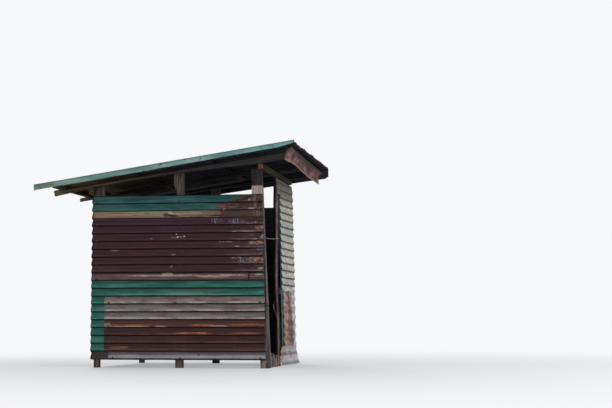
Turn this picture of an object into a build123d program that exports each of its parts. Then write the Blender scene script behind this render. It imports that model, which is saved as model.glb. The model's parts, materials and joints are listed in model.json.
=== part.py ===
from build123d import *
import os
from math import asin, atan, cos, degrees, radians, sin, tan

# A small outhouse of corrugated sheet on a timber frame. Millimetres, +Z up. X runs from the back
# eave to the front with the doorway, Y from the long wall with the old sheets to the far wall.
# While it is built, x = 0 and y = 0 are the middle of the walls. It is centred before it is written.

# Corrugated sheet
rib_pitch = 76.2
rib_depth = 17.2
gauge = 0.8
lap_gap = 0.15
trim_gauge = 1.0

# Places of the walls: where the sheets lie on the frame
side_seat = 851
back_seat = 862
front_foot = 875
front_lean = 1.5
corner_gap = 1.0

# Frame timber
board = 18
side_post = 62
back_post = 52
front_post = 70
stud_width = 35
stud_depth = 28

# Roof: the line along the top of the verge, from the front edge down to the back eave. It starts
# a rise above the near wall
roof_front = 1188
roof_rise = 480.6
roof_pitch = 8.6
roof_length = 2412
roof_sheets = 4
roof_sheet_ribs = 9
roof_lap_ribs = 2
purlin_width = 45
purlin_height = 25
eave_purlin_height = 40
notch_gap = 0.3
purlin_setback = 100
eave_setback = 8
rafter_width = 42
rafter_depth = 35
rafter_front_depth = 75
rafter_front = 1094
rafter_proud = 5
near_tail_past = 73
near_tail_depth = 54
middle_tail_past = 86
far_tail_past = 64
header_width = 45
header_proud = 10
front_header_height = 48
front_header_half = 845
back_header_height = 70
back_header_half = 920

# Verge trims and fascia
verge_past = 22
flange_width = 72
near_leg_back = 56
near_leg_front = 45
near_leg_tip = 25
near_leg_taper = 150
far_leg_back = 72
far_leg_front = 127
end_piece_past = 166
end_piece_lap = 40
fascia_hang = 185
fascia_leg = 90
fascia_lip = 56
fascia_lip_angle = 53
fascia_gauge = 1.5
fascia_near_short = 15
fascia_far_short = 115
fascia_drop = 22

# Near wall, from the ground up
near_low = 84.5
strip_gap = 0.5
old_sheet_ribs = 7
green_ribs = 10
maroon_ribs = 8
rail_showing = 65.4
top_sheet_ribs = 2
upper_back_end = -857
lower_back_end = -870
old_sheet_back_end = -736
strip_back_end = -690

# Rails on the side and back walls
top_rail_tuck = 16.6
top_rail_height = 100
lap_rail_height = 80
foot_rail_low = 77
foot_rail_height = 90
plain_rail_drop = 69.4

# Far and back walls: two sheets each, one over the other
wall_sheet_ribs = 11
far_low = 85
back_gap = 10.7

# Front wall
cream_start = 75
cream_reach = 868
low_start = 135
low_reach = 862
front_low = 74.6
cream_ribs = 14
top_piece_ribs = 2
top_piece_start = -100
low_sheet_ribs = 10
foot_strip_top = 196
foot_strip_start = -55
foot_strip_reach = 890
skirt_out = 38
ground_gap = 2
jamb_top_start = 45
jamb_foot_start = 40
jamb_reach = 260
jamb_low = 113
jamb_short = 2.2
front_rail_height = 60

# Posts and doorway
near_post_foot = 90
near_post_top = 99
near_post_depth = 83
near_post_foot_front = 905
near_post_top_front = 815
block_height = 82
block_thickness = 20
block_width = 104
block_past = 8
middle_x = 9
middle_width = 70
middle_top_x = -5
middle_top_width = 96
middle_flare_low = 41
middle_flare_high = 101
pole_gap = 2
branch_height = 515
branch_length = 115
branch_radius = 8
branch_tilt_near = 20
branch_tilt_back = 38
sill_thickness = 30
wire_radius = 1.6
wire_post_height = 1253
wire_pole_height = 1298
wire_inset = 40

wave_radius = ((rib_pitch / 4) ** 2 + (rib_depth / 2) ** 2) / rib_depth
wave_swing = asin(rib_pitch / 4 / wave_radius)
sheet_rise = rib_depth + gauge
lap_rise = (gauge + lap_gap) / cos(wave_swing)
post_face = side_seat - board
back_face = back_seat - board
green_low = near_low + rib_pitch + strip_gap
maroon_low = green_low + (green_ribs - 1) * rib_pitch
maroon_high = maroon_low + maroon_ribs * rib_pitch
top_sheet_low = maroon_high + rail_showing
near_high = top_sheet_low + top_sheet_ribs * rib_pitch
top_rail_mid = maroon_high - top_rail_tuck + top_rail_height / 2
cream_low = front_low + (low_sheet_ribs - 1) * rib_pitch
roof_top = near_high + roof_rise
fascia_bottom = roof_top - fascia_hang
roof_slope = tan(radians(roof_pitch))
sheet_drop = trim_gauge + lap_rise + sheet_rise
rafter_top = sheet_drop + purlin_height
rafter_bottom = rafter_top + rafter_depth
rafter_front_bottom = rafter_top + rafter_front_depth
roof_back = roof_front - roof_length * cos(radians(roof_pitch))
roof_half = (roof_sheets * (roof_sheet_ribs - roof_lap_ribs) + roof_lap_ribs) * rib_pitch / 2
verge_half = roof_half + verge_past
fascia_near_reach = verge_half - fascia_near_short
fascia_far_reach = verge_half - fascia_far_short
near_tail = roof_back - near_tail_past
middle_tail = roof_back - middle_tail_past
far_tail = roof_back - far_tail_past

nodes = {}


def roof_z(x, drop):
    """Height at x of a line that lies drop below the top of the roof, square to its slope."""
    return roof_top - (roof_front - x) * roof_slope - drop / cos(radians(roof_pitch))


def front_x(z):
    """Where the front wall's sheets lie on their rails, at a height."""
    return front_foot - z * tan(radians(front_lean))


# Each wall has its own frame: x out of the wall, y up it and z along it
lean = radians(front_lean)
near_wall = Plane(origin=(0, -side_seat, 0), x_dir=(0, -1, 0), z_dir=(-1, 0, 0)).location
far_wall = Plane(origin=(0, side_seat, 0), x_dir=(0, 1, 0), z_dir=(1, 0, 0)).location
back_wall = Plane(origin=(-back_seat, 0, 0), x_dir=(-1, 0, 0), z_dir=(0, 1, 0)).location
front_wall = Plane(origin=(front_foot, 0, 0), x_dir=(cos(lean), 0, sin(lean)), z_dir=(0, -1, 0)).location
roof_angle = radians(roof_pitch)
roof = Plane(
    origin=(roof_front, 0, roof_top),
    x_dir=(-sin(roof_angle), 0, cos(roof_angle)),
    z_dir=(-cos(roof_angle), 0, -sin(roof_angle)),
).location


def rib_arc(station, crest, offset, start, end):
    """Half a wave of the sheet as an arc, offset from the sheet's middle towards the outside."""
    radius = wave_radius + offset if crest else wave_radius - offset
    centre = gauge / 2 + (rib_depth - wave_radius if crest else wave_radius)
    side = 1 if crest else -1
    points = []
    for angle in (start, (start + end) / 2, end):
        points.append((centre + side * radius * cos(angle), station + radius * sin(angle)))
    return ThreePointArc(*points)


def wave(ribs, offset):
    """One face of a sheet, from trough to trough, as a chain of tangent arcs."""
    arcs = []
    for half in range(2 * ribs + 1):
        start = 0 if half == 0 else -wave_swing
        end = 0 if half == 2 * ribs else wave_swing
        arcs.append(rib_arc(half * rib_pitch / 2, half % 2 == 1, offset, start, end))
    return arcs


def ribbed_sheet(wall, low, ribs, lift, start, stop):
    """A corrugated sheet with level ribs, lifted off the rails by what it laps."""
    height = ribs * rib_pitch
    ends = [Line((0, 0), (gauge, 0)), Line((0, height), (gauge, height))]
    section = make_face(wave(ribs, gauge / 2) + wave(ribs, -gauge / 2) + ends)
    return wall * Pos(lift, low, start) * extrude(section, stop - start)


def block(low, high):
    """A plain sawn piece between two corners."""
    size = [high[i] - low[i] for i in range(3)]
    middle = [(high[i] + low[i]) / 2 for i in range(3)]
    return Pos(*middle) * Box(*size)


def together(pieces):
    """Like pieces that don't touch, kept in one node."""
    whole = pieces[0]
    for piece in pieces[1:]:
        whole = whole + piece
    return whole


def side_profile(outline, low_y, high_y):
    """A piece whose outline is drawn in X and Z."""
    return Pos(0, high_y, 0) * extrude(Plane.XZ * make_face(outline), high_y - low_y)


def sloping_bar(back_x, front_x_end, top_drop, bottom_drop, low_y, high_y):
    """A straight bar under the roof with plumb ends."""
    corners = [
        (back_x, roof_z(back_x, top_drop)),
        (front_x_end, roof_z(front_x_end, top_drop)),
        (front_x_end, roof_z(front_x_end, bottom_drop)),
        (back_x, roof_z(back_x, bottom_drop)),
    ]
    return side_profile(Polyline(*corners, close=True), low_y, high_y)


def post(sections):
    """A timber that leans or tapers, from (x, y, z, width, depth) at each change."""
    faces = [Pos(x, y, z) * Rectangle(width, depth) for x, y, z, width, depth in sections]
    return loft(faces, ruled=True)


# Roof timber: rafters on two headers, purlins on the rafters
front_header_x = front_x(roof_z(front_foot, rafter_front_bottom)) - header_width + header_proud
front_header_top = roof_z(front_header_x, rafter_front_bottom)
front_header_low = front_header_top - front_header_height
back_header_x = -back_face - header_width
back_header_top = roof_z(back_header_x, rafter_bottom)
back_header_low = back_header_top - back_header_height
side_rafter_outer = side_seat + rafter_proud


def underside(tail, tail_depth):
    """A rafter's lower edge: its tail, a bow between the two headers and its nose."""
    tip = (tail, roof_z(tail, rafter_top + tail_depth))
    at_back = (back_header_x, back_header_top)
    bow_x = (back_header_x + front_header_x) / 2
    bow = (bow_x, roof_z(bow_x, rafter_bottom))
    at_front = (front_header_x, front_header_top)
    nose = (rafter_front, roof_z(rafter_front, rafter_front_bottom))
    return [Line(tip, at_back), ThreePointArc(at_back, bow, at_front), Line(at_front, nose)]


def above_underside(tail, tail_depth, level):
    """The outline of what lies above a rafter's lower edge, up to a sloping line."""
    lower = underside(tail, tail_depth)
    tail_top = (tail, roof_z(tail, level))
    front_top = (rafter_front, roof_z(rafter_front, level))
    return lower + [Polyline(lower[0] @ 0, tail_top, front_top, lower[2] @ 1)]


def eave_notch():
    """The room that the deeper eave purlin takes out of a rafter."""
    back = roof_length - eave_setback
    low = -sheet_drop - eave_purlin_height - notch_gap
    corner = (low, -verge_half, back - purlin_width - notch_gap)
    return roof * block(corner, (0, verge_half, back + notch_gap))


def rafters():
    half = rafter_width / 2
    for name, tail, tail_depth, low_y in (
        ("near", near_tail, near_tail_depth, -side_rafter_outer),
        ("middle", middle_tail, rafter_depth, -half),
        ("far", far_tail, rafter_depth, side_rafter_outer - rafter_width),
    ):
        outline = above_underside(tail, tail_depth, rafter_top)
        nodes["rafter_" + name] = side_profile(outline, low_y, low_y + rafter_width) - eave_notch()


def purlins():
    reach = roof_half - trim_gauge
    spacing = (roof_length - purlin_setback - purlin_width - eave_setback) / 3
    low = -sheet_drop - purlin_height
    bars = []
    for step in range(3):
        start = purlin_setback + step * spacing
        bars.append(roof * block((low, -reach, start), (-sheet_drop, reach, start + purlin_width)))
    nodes["purlins"] = together(bars)
    back = roof_length - eave_setback
    eave_low = -sheet_drop - eave_purlin_height
    nodes["eave_purlin"] = roof * block((eave_low, -reach, back - purlin_width), (-sheet_drop, reach, back))


def headers():
    nodes["header_front"] = block(
        (front_header_x, -front_header_half, front_header_low),
        (front_header_x + header_width, front_header_half, front_header_top),
    )
    nodes["header_back"] = block(
        (back_header_x, -back_header_half, back_header_low),
        (back_header_x + header_width, back_header_half, back_header_top),
    )


# Wall timber
near_post_inner = -post_face + near_post_depth
near_rafter_above = above_underside(near_tail, near_tail_depth, -rafter_top)
near_above = side_profile(near_rafter_above, -side_seat, near_post_inner)
far_rafter_above = above_underside(far_tail, rafter_depth, -rafter_top)
far_above = side_profile(far_rafter_above, -near_post_inner, side_seat)


def near_front_edge(z):
    """The leaning near post's front edge at a height."""
    return near_post_foot_front + (near_post_top_front - near_post_foot_front) * z / front_header_low


def posts():
    y = -post_face + near_post_depth / 2
    nodes["post_near_front"] = post([
        (near_post_foot_front - near_post_foot / 2, y, 0, near_post_foot, near_post_depth),
        (near_post_top_front - near_post_top / 2, y, front_header_low, near_post_top, near_post_depth),
    ])
    for side, above, name in ((-1, near_above, "near"), (1, far_above, "far")):
        y = side * (post_face - side_post / 2)
        x = -back_face + back_post / 2
        reach = roof_z(x + back_post, rafter_top)
        back = post([(x, y, 0, back_post, side_post), (x, y, reach, back_post, side_post)])
        reach = roof_z(middle_top_x + middle_top_width, rafter_top)
        middle = post([
            (middle_x, y, 0, middle_width, side_post),
            (middle_x, y, near_high + middle_flare_low, middle_width, side_post),
            (middle_top_x, y, near_high + middle_flare_high, middle_top_width, side_post),
            (middle_top_x, y, reach, middle_top_width, side_post),
        ])
        nodes["post_" + name + "_back"] = back - above
        nodes["post_" + name + "_middle"] = middle - above
    behind = board / cos(lean) + front_post / 2
    foot_x = front_x(0) - behind
    top_x = front_x(front_header_low) - behind
    y = post_face - front_post / 2
    nodes["post_far_front"] = post([
        (foot_x, y, 0, front_post, front_post),
        (top_x, y, front_header_low, front_post, front_post),
    ])


def small_timber():
    """The pale block on the near post and the thin stud beside the back post."""
    low = near_high + corner_gap
    front = near_front_edge(low + block_height) + block_past
    nodes["post_block"] = block(
        (front - block_width, -post_face - block_thickness, low),
        (front, -post_face, low + block_height),
    )
    x = -back_face + back_post + corner_gap
    y = -post_face + stud_depth / 2
    reach = roof_z(x + stud_width, rafter_top)
    low = top_rail_mid - top_rail_height / 2
    stud = post([
        (x + stud_width / 2, y, low, stud_width, stud_depth),
        (x + stud_width / 2, y, reach, stud_width, stud_depth),
    ])
    nodes["stud_near_back"] = stud - near_above


def rail(wall, mid, height, start, stop):
    return wall * block((-board, mid - height / 2, start), (0, mid + height / 2, stop))


def rails():
    foot_mid = foot_rail_low + foot_rail_height / 2
    heights = (
        (foot_mid, foot_rail_height),
        (maroon_low, lap_rail_height),
        (near_high - plain_rail_drop, lap_rail_height),
    )
    near_start = -front_x(top_rail_mid)
    nodes["near_rail_top"] = rail(near_wall, top_rail_mid, top_rail_height, near_start, -upper_back_end)
    nodes["near_rails_low"] = together([
        rail(near_wall, mid, height, -front_x(mid), -upper_back_end) for mid, height in heights[:2]
    ])
    nodes["far_rails"] = together([
        rail(far_wall, mid, height, upper_back_end, front_x(mid + height) - board) for mid, height in heights
    ])
    reach = post_face - corner_gap
    nodes["back_rails"] = together([
        rail(back_wall, mid, height, -reach, reach) for mid, height in heights
    ])


# Doorway: a crooked pole, a worn sill and a wire. The pole is (height, x offset, y, radius)
pole_stations = [
    (0, -4, -28, 27),
    (445, 2, -40, 25),
    (715, 0, -66, 24),
    (895, -5, -52, 24),
    (1335, 1, 5, 26),
    (front_header_low, -2, 92, 29),
]


def pole_at(z):
    """Centre and radius of the pole at a height."""
    for low, high in zip(pole_stations, pole_stations[1:]):
        if z <= high[0]:
            share = (z - low[0]) / (high[0] - low[0])
            x, y, radius = [low[i] + (high[i] - low[i]) * share for i in (1, 2, 3)]
            return x + front_x(z) - pole_stations[0][3] - pole_gap, y, radius


def door_pole():
    """The pole, with the stub of a branch that points up and back."""
    sections = []
    for station in pole_stations:
        x, y, radius = pole_at(station[0])
        sections.append(Pos(x, y, station[0]) * Circle(radius))
    x, y, radius = pole_at(branch_height)
    turned = Pos(x, y, branch_height) * Rot(branch_tilt_near, -branch_tilt_back, 0)
    branch = turned * extrude(Circle(branch_radius), branch_length)
    nodes["door_pole"] = loft(sections, ruled=True) + branch


# The sill's rotted upper edge, as (share of its length, height)
sill_worn_top = [
    (0, 153),
    (0.1, 144),
    (0.19, 156),
    (0.31, 141),
    (0.46, 148),
    (0.6, 132),
    (0.74, 138),
    (0.87, 118),
    (1, 126),
]


def door_sill():
    """A worn plank on edge across the doorway, its top rotted to an uneven line."""
    x, y, radius = pole_at(sill_worn_top[-1][1])
    stop = y - radius - corner_gap
    corners = [(near_post_inner, 0)]
    for share, height in sill_worn_top:
        corners.append((near_post_inner + share * (stop - near_post_inner), height))
    corners.append((stop, 0))
    outline = make_face(Polyline(*corners, close=True))
    nodes["door_sill"] = Pos(front_foot - sill_thickness, 0, 0) * extrude(Plane.YZ * outline, sill_thickness)


def door_wire():
    """A taut wire from the near post to the pole."""
    x, y, radius = pole_at(wire_pole_height)
    edge = near_front_edge(wire_post_height - 2 * wire_radius)
    corner = Vector(edge + wire_radius, near_post_inner, wire_post_height)
    pole_end = Vector(x + radius + wire_radius, y + radius, wire_pole_height)
    near_end = corner - (pole_end - corner).normalized() * wire_inset
    along = pole_end - near_end
    start = Plane(origin=near_end, z_dir=along).location
    nodes["door_wire"] = start * extrude(Circle(wire_radius), along.length)


# Sheets
def near_sheets():
    """The long wall that shows: a short top sheet, then maroon over green, old sheet over green."""
    end = -front_x(near_high)
    nodes["near_top_sheet"] = ribbed_sheet(near_wall, top_sheet_low, top_sheet_ribs, 0, end, -upper_back_end)
    end = -front_x(maroon_low + maroon_ribs * rib_pitch / 2)
    nodes["near_maroon_sheet"] = ribbed_sheet(
        near_wall, maroon_low, maroon_ribs, lap_rise, end, -upper_back_end
    )
    end = -front_x(maroon_low)
    nodes["near_green_sheet"] = ribbed_sheet(near_wall, green_low, green_ribs, 0, end, -lower_back_end)
    end = -front_x(green_low + old_sheet_ribs * rib_pitch / 2)
    nodes["near_old_sheet"] = ribbed_sheet(
        near_wall, green_low, old_sheet_ribs, lap_rise, end, -old_sheet_back_end
    )
    end = -front_x(green_low)
    nodes["near_foot_strip"] = ribbed_sheet(near_wall, near_low, 1, 0, end, -strip_back_end)


def plain_sheets():
    """The far and back walls, two sheets each with one rib lapped."""
    height = (wall_sheet_ribs - 1) * rib_pitch
    back_low = back_header_low - back_gap - height - wall_sheet_ribs * rib_pitch
    for step, level in enumerate(("low", "high")):
        low = far_low + step * height
        stop = front_x(low + wall_sheet_ribs * rib_pitch) - corner_gap
        nodes["far_sheet_" + level] = ribbed_sheet(
            far_wall, low, wall_sheet_ribs, step * lap_rise, upper_back_end, stop
        )
        reach = side_seat - corner_gap
        nodes["back_sheet_" + level] = ribbed_sheet(
            back_wall, back_low + step * height, wall_sheet_ribs, step * lap_rise, -reach, reach
        )


def front_foot_strip():
    """A flattened sheet over the foot of the front wall, sprung out at the ground like a skirt."""
    drop = foot_strip_top - ground_gap
    turn = 2 * atan(skirt_out / drop)
    radius = drop / sin(turn)
    seat = gauge + sheet_rise + lap_gap
    arcs = []
    for offset in (gauge, 0):
        points = []
        for angle in (0, turn / 2, turn):
            reach = radius - offset
            points.append((seat + radius - reach * cos(angle), foot_strip_top - reach * sin(angle)))
        arcs.append(ThreePointArc(*points))
    ends = [Line(arcs[0] @ 0, arcs[1] @ 0), Line(arcs[0] @ 1, arcs[1] @ 1)]
    length = foot_strip_reach - foot_strip_start
    return front_wall * Pos(0, 0, -foot_strip_reach) * extrude(make_face(arcs + ends), length)


def front_pieces():
    nodes["front_low_sheet"] = ribbed_sheet(
        front_wall, front_low, low_sheet_ribs, gauge, -low_reach, -low_start
    )
    nodes["front_foot_strip"] = front_foot_strip()
    nodes["front_cream_sheet"] = ribbed_sheet(
        front_wall, cream_low, cream_ribs, gauge + lap_rise, -cream_reach, -cream_start
    )
    nodes["front_top_sheet"] = ribbed_sheet(
        front_wall, cream_low + (cream_ribs - 1) * rib_pitch, top_piece_ribs, gauge + 2 * lap_rise,
        -side_seat, -top_piece_start
    )
    jamb_high = cream_low + cream_ribs * rib_pitch - jamb_short
    strip = make_face(Polyline(
        (jamb_low, -jamb_foot_start),
        (jamb_low, -jamb_reach),
        (jamb_high, -jamb_reach),
        (jamb_high, -jamb_top_start),
        close=True,
    ))
    nodes["front_jamb_strip"] = front_wall * extrude(Plane.YZ * strip, gauge)
    top_mid = cream_low + (cream_ribs - 1) * rib_pitch
    low_mid = front_low + rib_pitch
    bars = []
    for mid in (low_mid, cream_low, top_mid):
        x, y, radius = pole_at(mid)
        start = -post_face + corner_gap
        stop = -y - radius - 2 * pole_gap
        bars.append(rail(front_wall, mid, front_rail_height, start, stop))
    nodes["front_rails"] = together(bars)


def roof_sheeting():
    """Sheets side by side with their ribs down the slope, every other one lapped over the next."""
    step = (roof_sheet_ribs - roof_lap_ribs) * rib_pitch
    for number in range(roof_sheets):
        lift = lap_rise if number % 2 == 0 else 0
        start = -roof_half + number * step
        nodes["roof_sheet_" + str(number + 1)] = ribbed_sheet(
            roof, start, roof_sheet_ribs, lift - sheet_drop, 0, roof_length
        )


def verge_trim(side, back_x, front_x_end, lift, lower):
    """An angle trim: a flange on the first crest and a leg down to the lower line, as (x, drop)."""
    outer = verge_half + max(lift, 0)
    faces = sorted((side * outer, side * (outer - trim_gauge)))
    flange = sorted((side * outer, side * (outer - flange_width)))
    upper = [(back_x, roof_z(back_x, -lift)), (front_x_end, roof_z(front_x_end, -lift))]
    leg = side_profile(Polyline(*upper, *[(x, roof_z(x, drop)) for x, drop in lower], close=True), *faces)
    return leg + sloping_bar(back_x, front_x_end, -lift, trim_gauge - lift, *flange)


def trims():
    near_lower = [
        (roof_front, near_leg_tip),
        (roof_front - near_leg_taper, near_leg_front),
        (roof_back, near_leg_back),
    ]
    nodes["verge_trim_near"] = verge_trim(-1, roof_back, roof_front, 0, near_lower)
    end_back = roof_back - end_piece_past
    end_front = roof_back + end_piece_lap
    end_lower = [(end_front, near_leg_back), (end_back, near_leg_back)]
    nodes["verge_end_piece"] = verge_trim(-1, end_back, end_front, trim_gauge, end_lower)
    far_lower = [(roof_front, far_leg_front), (roof_back, far_leg_back)]
    nodes["verge_trim_far"] = verge_trim(1, roof_back, roof_front, -lap_rise, far_lower)


def fascia():
    """A bent strip nailed to the rafters' ends, its upper edge leaning forward."""
    bend = radians(fascia_lip_angle)
    fold = fascia_bottom + fascia_leg
    lip = (rafter_front + fascia_lip * sin(bend), fold + fascia_lip * cos(bend))
    outline = Polyline(
        (rafter_front, fascia_bottom),
        (rafter_front, fold),
        lip,
        (lip[0] + fascia_gauge * cos(bend), lip[1] - fascia_gauge * sin(bend)),
        (rafter_front + fascia_gauge, fold - fascia_gauge * tan(bend / 2)),
        (rafter_front + fascia_gauge, fascia_bottom),
        close=True,
    )
    strip = side_profile(outline, -fascia_near_reach, fascia_far_reach)
    sag = degrees(atan(fascia_drop / (fascia_near_reach + fascia_far_reach)))
    pivot = Pos(0, -fascia_near_reach, fascia_bottom)
    nodes["fascia_front"] = pivot * Rot(-sag, 0, 0) * pivot.inverse() * strip


rafters()
purlins()
headers()
posts()
small_timber()
rails()
door_pole()
door_sill()
door_wire()
near_sheets()
plain_sheets()
front_pieces()
roof_sheeting()
trims()
fascia()

boxes = [shape.bounding_box() for shape in nodes.values()]
low_corner = [min(box.min.X for box in boxes), min(box.min.Y for box in boxes)]
high_corner = [max(box.max.X for box in boxes), max(box.max.Y for box in boxes)]
centring = Pos(-(low_corner[0] + high_corner[0]) / 2, -(low_corner[1] + high_corner[1]) / 2, 0)

os.makedirs("parts", exist_ok=True)
for name, shape in nodes.items():
    export_step(centring * shape, "parts/" + name + ".step")
print(len(nodes), "nodes, moved by", centring.position)
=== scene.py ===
import json
import math

import bpy
from mathutils import Matrix, Vector, noise


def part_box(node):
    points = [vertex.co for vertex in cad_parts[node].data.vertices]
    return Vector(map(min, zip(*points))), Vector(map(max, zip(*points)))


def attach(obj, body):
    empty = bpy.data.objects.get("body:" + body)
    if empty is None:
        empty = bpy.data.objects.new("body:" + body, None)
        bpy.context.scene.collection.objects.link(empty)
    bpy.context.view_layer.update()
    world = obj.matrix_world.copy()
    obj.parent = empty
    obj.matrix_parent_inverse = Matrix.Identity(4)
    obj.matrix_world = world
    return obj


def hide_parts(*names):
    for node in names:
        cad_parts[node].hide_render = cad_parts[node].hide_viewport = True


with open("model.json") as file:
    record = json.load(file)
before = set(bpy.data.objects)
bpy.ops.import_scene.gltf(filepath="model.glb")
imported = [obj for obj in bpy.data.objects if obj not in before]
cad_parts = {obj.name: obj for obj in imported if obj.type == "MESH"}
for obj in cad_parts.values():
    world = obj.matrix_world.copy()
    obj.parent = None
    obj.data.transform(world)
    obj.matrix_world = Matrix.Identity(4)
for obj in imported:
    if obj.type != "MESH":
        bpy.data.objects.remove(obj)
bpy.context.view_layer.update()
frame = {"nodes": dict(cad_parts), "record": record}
slot_of = {entry["node"]: entry["material_slot"] for entry in frame["record"]["subparts"]}

# Corrugated sheet and the slopes that it is fixed at, in metres and radians
rib_pitch = 0.0762
rib_depth = 0.0172
gauge = 0.0008
wave_radius = ((rib_pitch / 4) ** 2 + (rib_depth / 2) ** 2) / rib_depth
front_lean = math.radians(1.5)
roof_pitch = math.radians(8.6)

# The walls' ribs lean: above each dark line they come out quickly, then go slowly back.
# A wall's sheet starts this many rows above its trough
lean_share = 0.25
start_row = 3

# Ribs of the front and back walls are pressed flatter. The low front sheet has wider, even ribs
pressed = 0.45
wide_pitch = 0.0952

# The front wall's ribs hang low, most high up beside the doorway
sag_even = 0.01
sag_corner = 0.02

# Dents stand out by up to this much
dent_depth = 0.003

# How finely sheets and timbers are divided
steps_per_rib = 12
station_length = 0.03
timber_step = 0.04

# How far from its end a timber is frayed, and how short it breaks off
fray_length = 0.03
fray_depth = 0.014

# Sheets are ragged over this length at their ends and this height at their lower edges
end_length = 0.05
edge_height = 0.03

# The low front sheet is pressed flat below its top: over this height, and how many of it from the top
tuck_height = 0.5 * rib_pitch
tuck_start = 3.2

# The roof's front edge droops by up to this much, over this length
droop = 0.014
droop_length = 0.11

# Marks on the walls were placed with the near wall's foot at this height
marks_foot = 0.0695
marks_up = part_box("near_foot_strip")[0].z - marks_foot

# A spot's reach along an axis that it isn't bounded on
endless = 30.0

# How much every surface shines
sheen = 0.15

# Where the fascia's face ends below at its near end, and how far it falls to the other
fascia_foot = 1.97
fascia_fall = 0.022

# The stub of a branch on the door pole: where it leaves the pole, its heights, and the shares of its
# length by which it is drawn in and up
stub_edge = 0.893
stub_foot = 0.53
stub_top = 0.63
stub_in = 0.75
stub_up = 0.5

wire_radius = 0.0016
wire_sag = 0.006

front_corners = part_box("front_cream_sheet")
fascia_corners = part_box("fascia_front")
X, Y, Z = Vector((1, 0, 0)), Vector((0, 1, 0)), Vector((0, 0, 1))
bpy.ops.object.select_all(action="DESELECT")


def tint(code):
    """A colour written as on screen, turned to the linear values that shaders take."""
    parts = [int(code[i:i + 2], 16) / 255 for i in (1, 3, 5)]
    return tuple(c / 12.92 if c <= 0.04045 else ((c + 0.055) / 1.055) ** 2.4 for c in parts) + (1.0,)


# Shader nodes
def sign(operation, turned=False):
    """A sign of arithmetic between a shader's value and another, turned when the value comes second."""
    def joined(value, other):
        pair = (other, value) if turned else (value, other)
        return value.web.math(operation, *pair)
    return joined


class Value:
    """What a node gives, to reckon with like a number."""

    def __init__(self, web, socket):
        self.web = web
        self.socket = socket

    def __abs__(self):
        return self.web.math("ABSOLUTE", self)

    __add__ = sign("ADD")
    __sub__ = sign("SUBTRACT")
    __rsub__ = sign("SUBTRACT", True)
    __mul__ = sign("MULTIPLY")
    __truediv__ = sign("DIVIDE")


class Web:
    """A node tree with short ways to add what the finishes need."""

    def __init__(self, tree):
        self.tree = tree

    def feed(self, socket, value):
        if isinstance(value, Value):
            self.tree.links.new(value.socket, socket)
        else:
            socket.default_value = tint(value) if isinstance(value, str) else value

    def node(self, kind, inputs=None, **settings):
        made = self.tree.nodes.new(kind)
        for key, value in settings.items():
            setattr(made, key, value)
        for key, value in (inputs or {}).items():
            self.feed(made.inputs[key], value)
        return made

    def outputs(self, kind, inputs=None, **settings):
        """All that a new node gives, by name."""
        return {socket.name: Value(self, socket) for socket in self.node(kind, inputs, **settings).outputs}

    def value(self, kind, inputs, which=0, **settings):
        return Value(self, self.node(kind, inputs, **settings).outputs[which])

    def math(self, operation, first, second=0.0):
        return self.value("ShaderNodeMath", {0: first, 1: second}, operation=operation)

    def most(self, first, second):
        return self.math("MAXIMUM", first, second)

    def vector_math(self, operation, first, second):
        return self.value("ShaderNodeVectorMath", {0: first, 1: second}, operation=operation)

    def length(self, vector):
        return self.value("ShaderNodeVectorMath", {0: vector}, "Value", operation="LENGTH")

    def axes_of(self, vector):
        return list(self.outputs("ShaderNodeSeparateXYZ", {0: vector}).values())

    def blend(self, factor, first, second):
        return self.value("ShaderNodeMix", {0: factor, 6: first, 7: second}, 2, data_type="RGBA")

    def spread(self, value, low, high, to_low=0.0, to_high=1.0):
        """Maps a range smoothly onto another, held at its ends."""
        inputs = dict(enumerate((value, low, high, to_low, to_high)))
        return self.value("ShaderNodeMapRange", inputs, interpolation_type="SMOOTHSTEP")

    def fade(self, value, low, high, first, second, share=1.0):
        """One colour that turns to another where a value goes from low to high."""
        return self.blend(self.spread(value, low, high, 0.0, share), first, second)

    def stretch(self, place, scale, shift=(0, 0, 0)):
        return self.value("ShaderNodeMapping", {"Vector": place, "Scale": scale, "Location": shift})

    def noise(self, place, scale, detail=5.0, rough=0.6):
        sockets = {"Vector": place, "Scale": scale, "Detail": detail, "Roughness": rough}
        return self.value("ShaderNodeTexNoise", sockets)

    def streaked(self, place, size, detail, rough, shift=(0, 0, 0)):
        """Noise drawn out by a scale for each axis."""
        return self.noise(self.stretch(place, size, shift), 1.0, detail, rough)

    def group(self, tree, **inputs):
        named = {key.capitalize(): value for key, value in inputs.items()}
        return self.outputs("ShaderNodeGroup", named, node_tree=tree)


# The kind of each socket that isn't a plain number
socket_kinds = dict.fromkeys(("Vector", "Centre", "Reach", "Run", "Along"), "Vector")
socket_kinds.update(dict.fromkeys(("Dark", "Light", "Grey", "Colour"), "Color"))


def new_group(name, inputs, outputs):
    """A shader group with named sockets: its web, its place, what comes in and what goes out."""
    tree = bpy.data.node_groups.new(name, "ShaderNodeTree")
    for way, labels in (("INPUT", "Vector " + inputs), ("OUTPUT", outputs)):
        for label in labels.split():
            kind = "NodeSocket" + socket_kinds.get(label, "Float")
            tree.interface.new_socket(label, in_out=way, socket_type=kind)
    web = Web(tree)
    into = web.outputs("NodeGroupInput")
    return web, into["Vector"], into, web.node("NodeGroupOutput").inputs


def make_patch_group():
    """A ragged ellipse round a place: 1 inside, 0 outside."""
    web, place, into, out = new_group("patch", "Centre Reach Ragged Grain", "Mask")
    apart = web.vector_math("SUBTRACT", place, into["Centre"])
    far = web.length(web.vector_math("DIVIDE", apart, into["Reach"]))
    rough = web.noise(web.stretch(place, (1, 1, 3)), into["Grain"], 6.0, 0.7) - 0.5
    web.feed(out["Mask"], web.spread(far + rough * into["Ragged"], 1.1, 0.75))
    return web.tree


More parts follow.
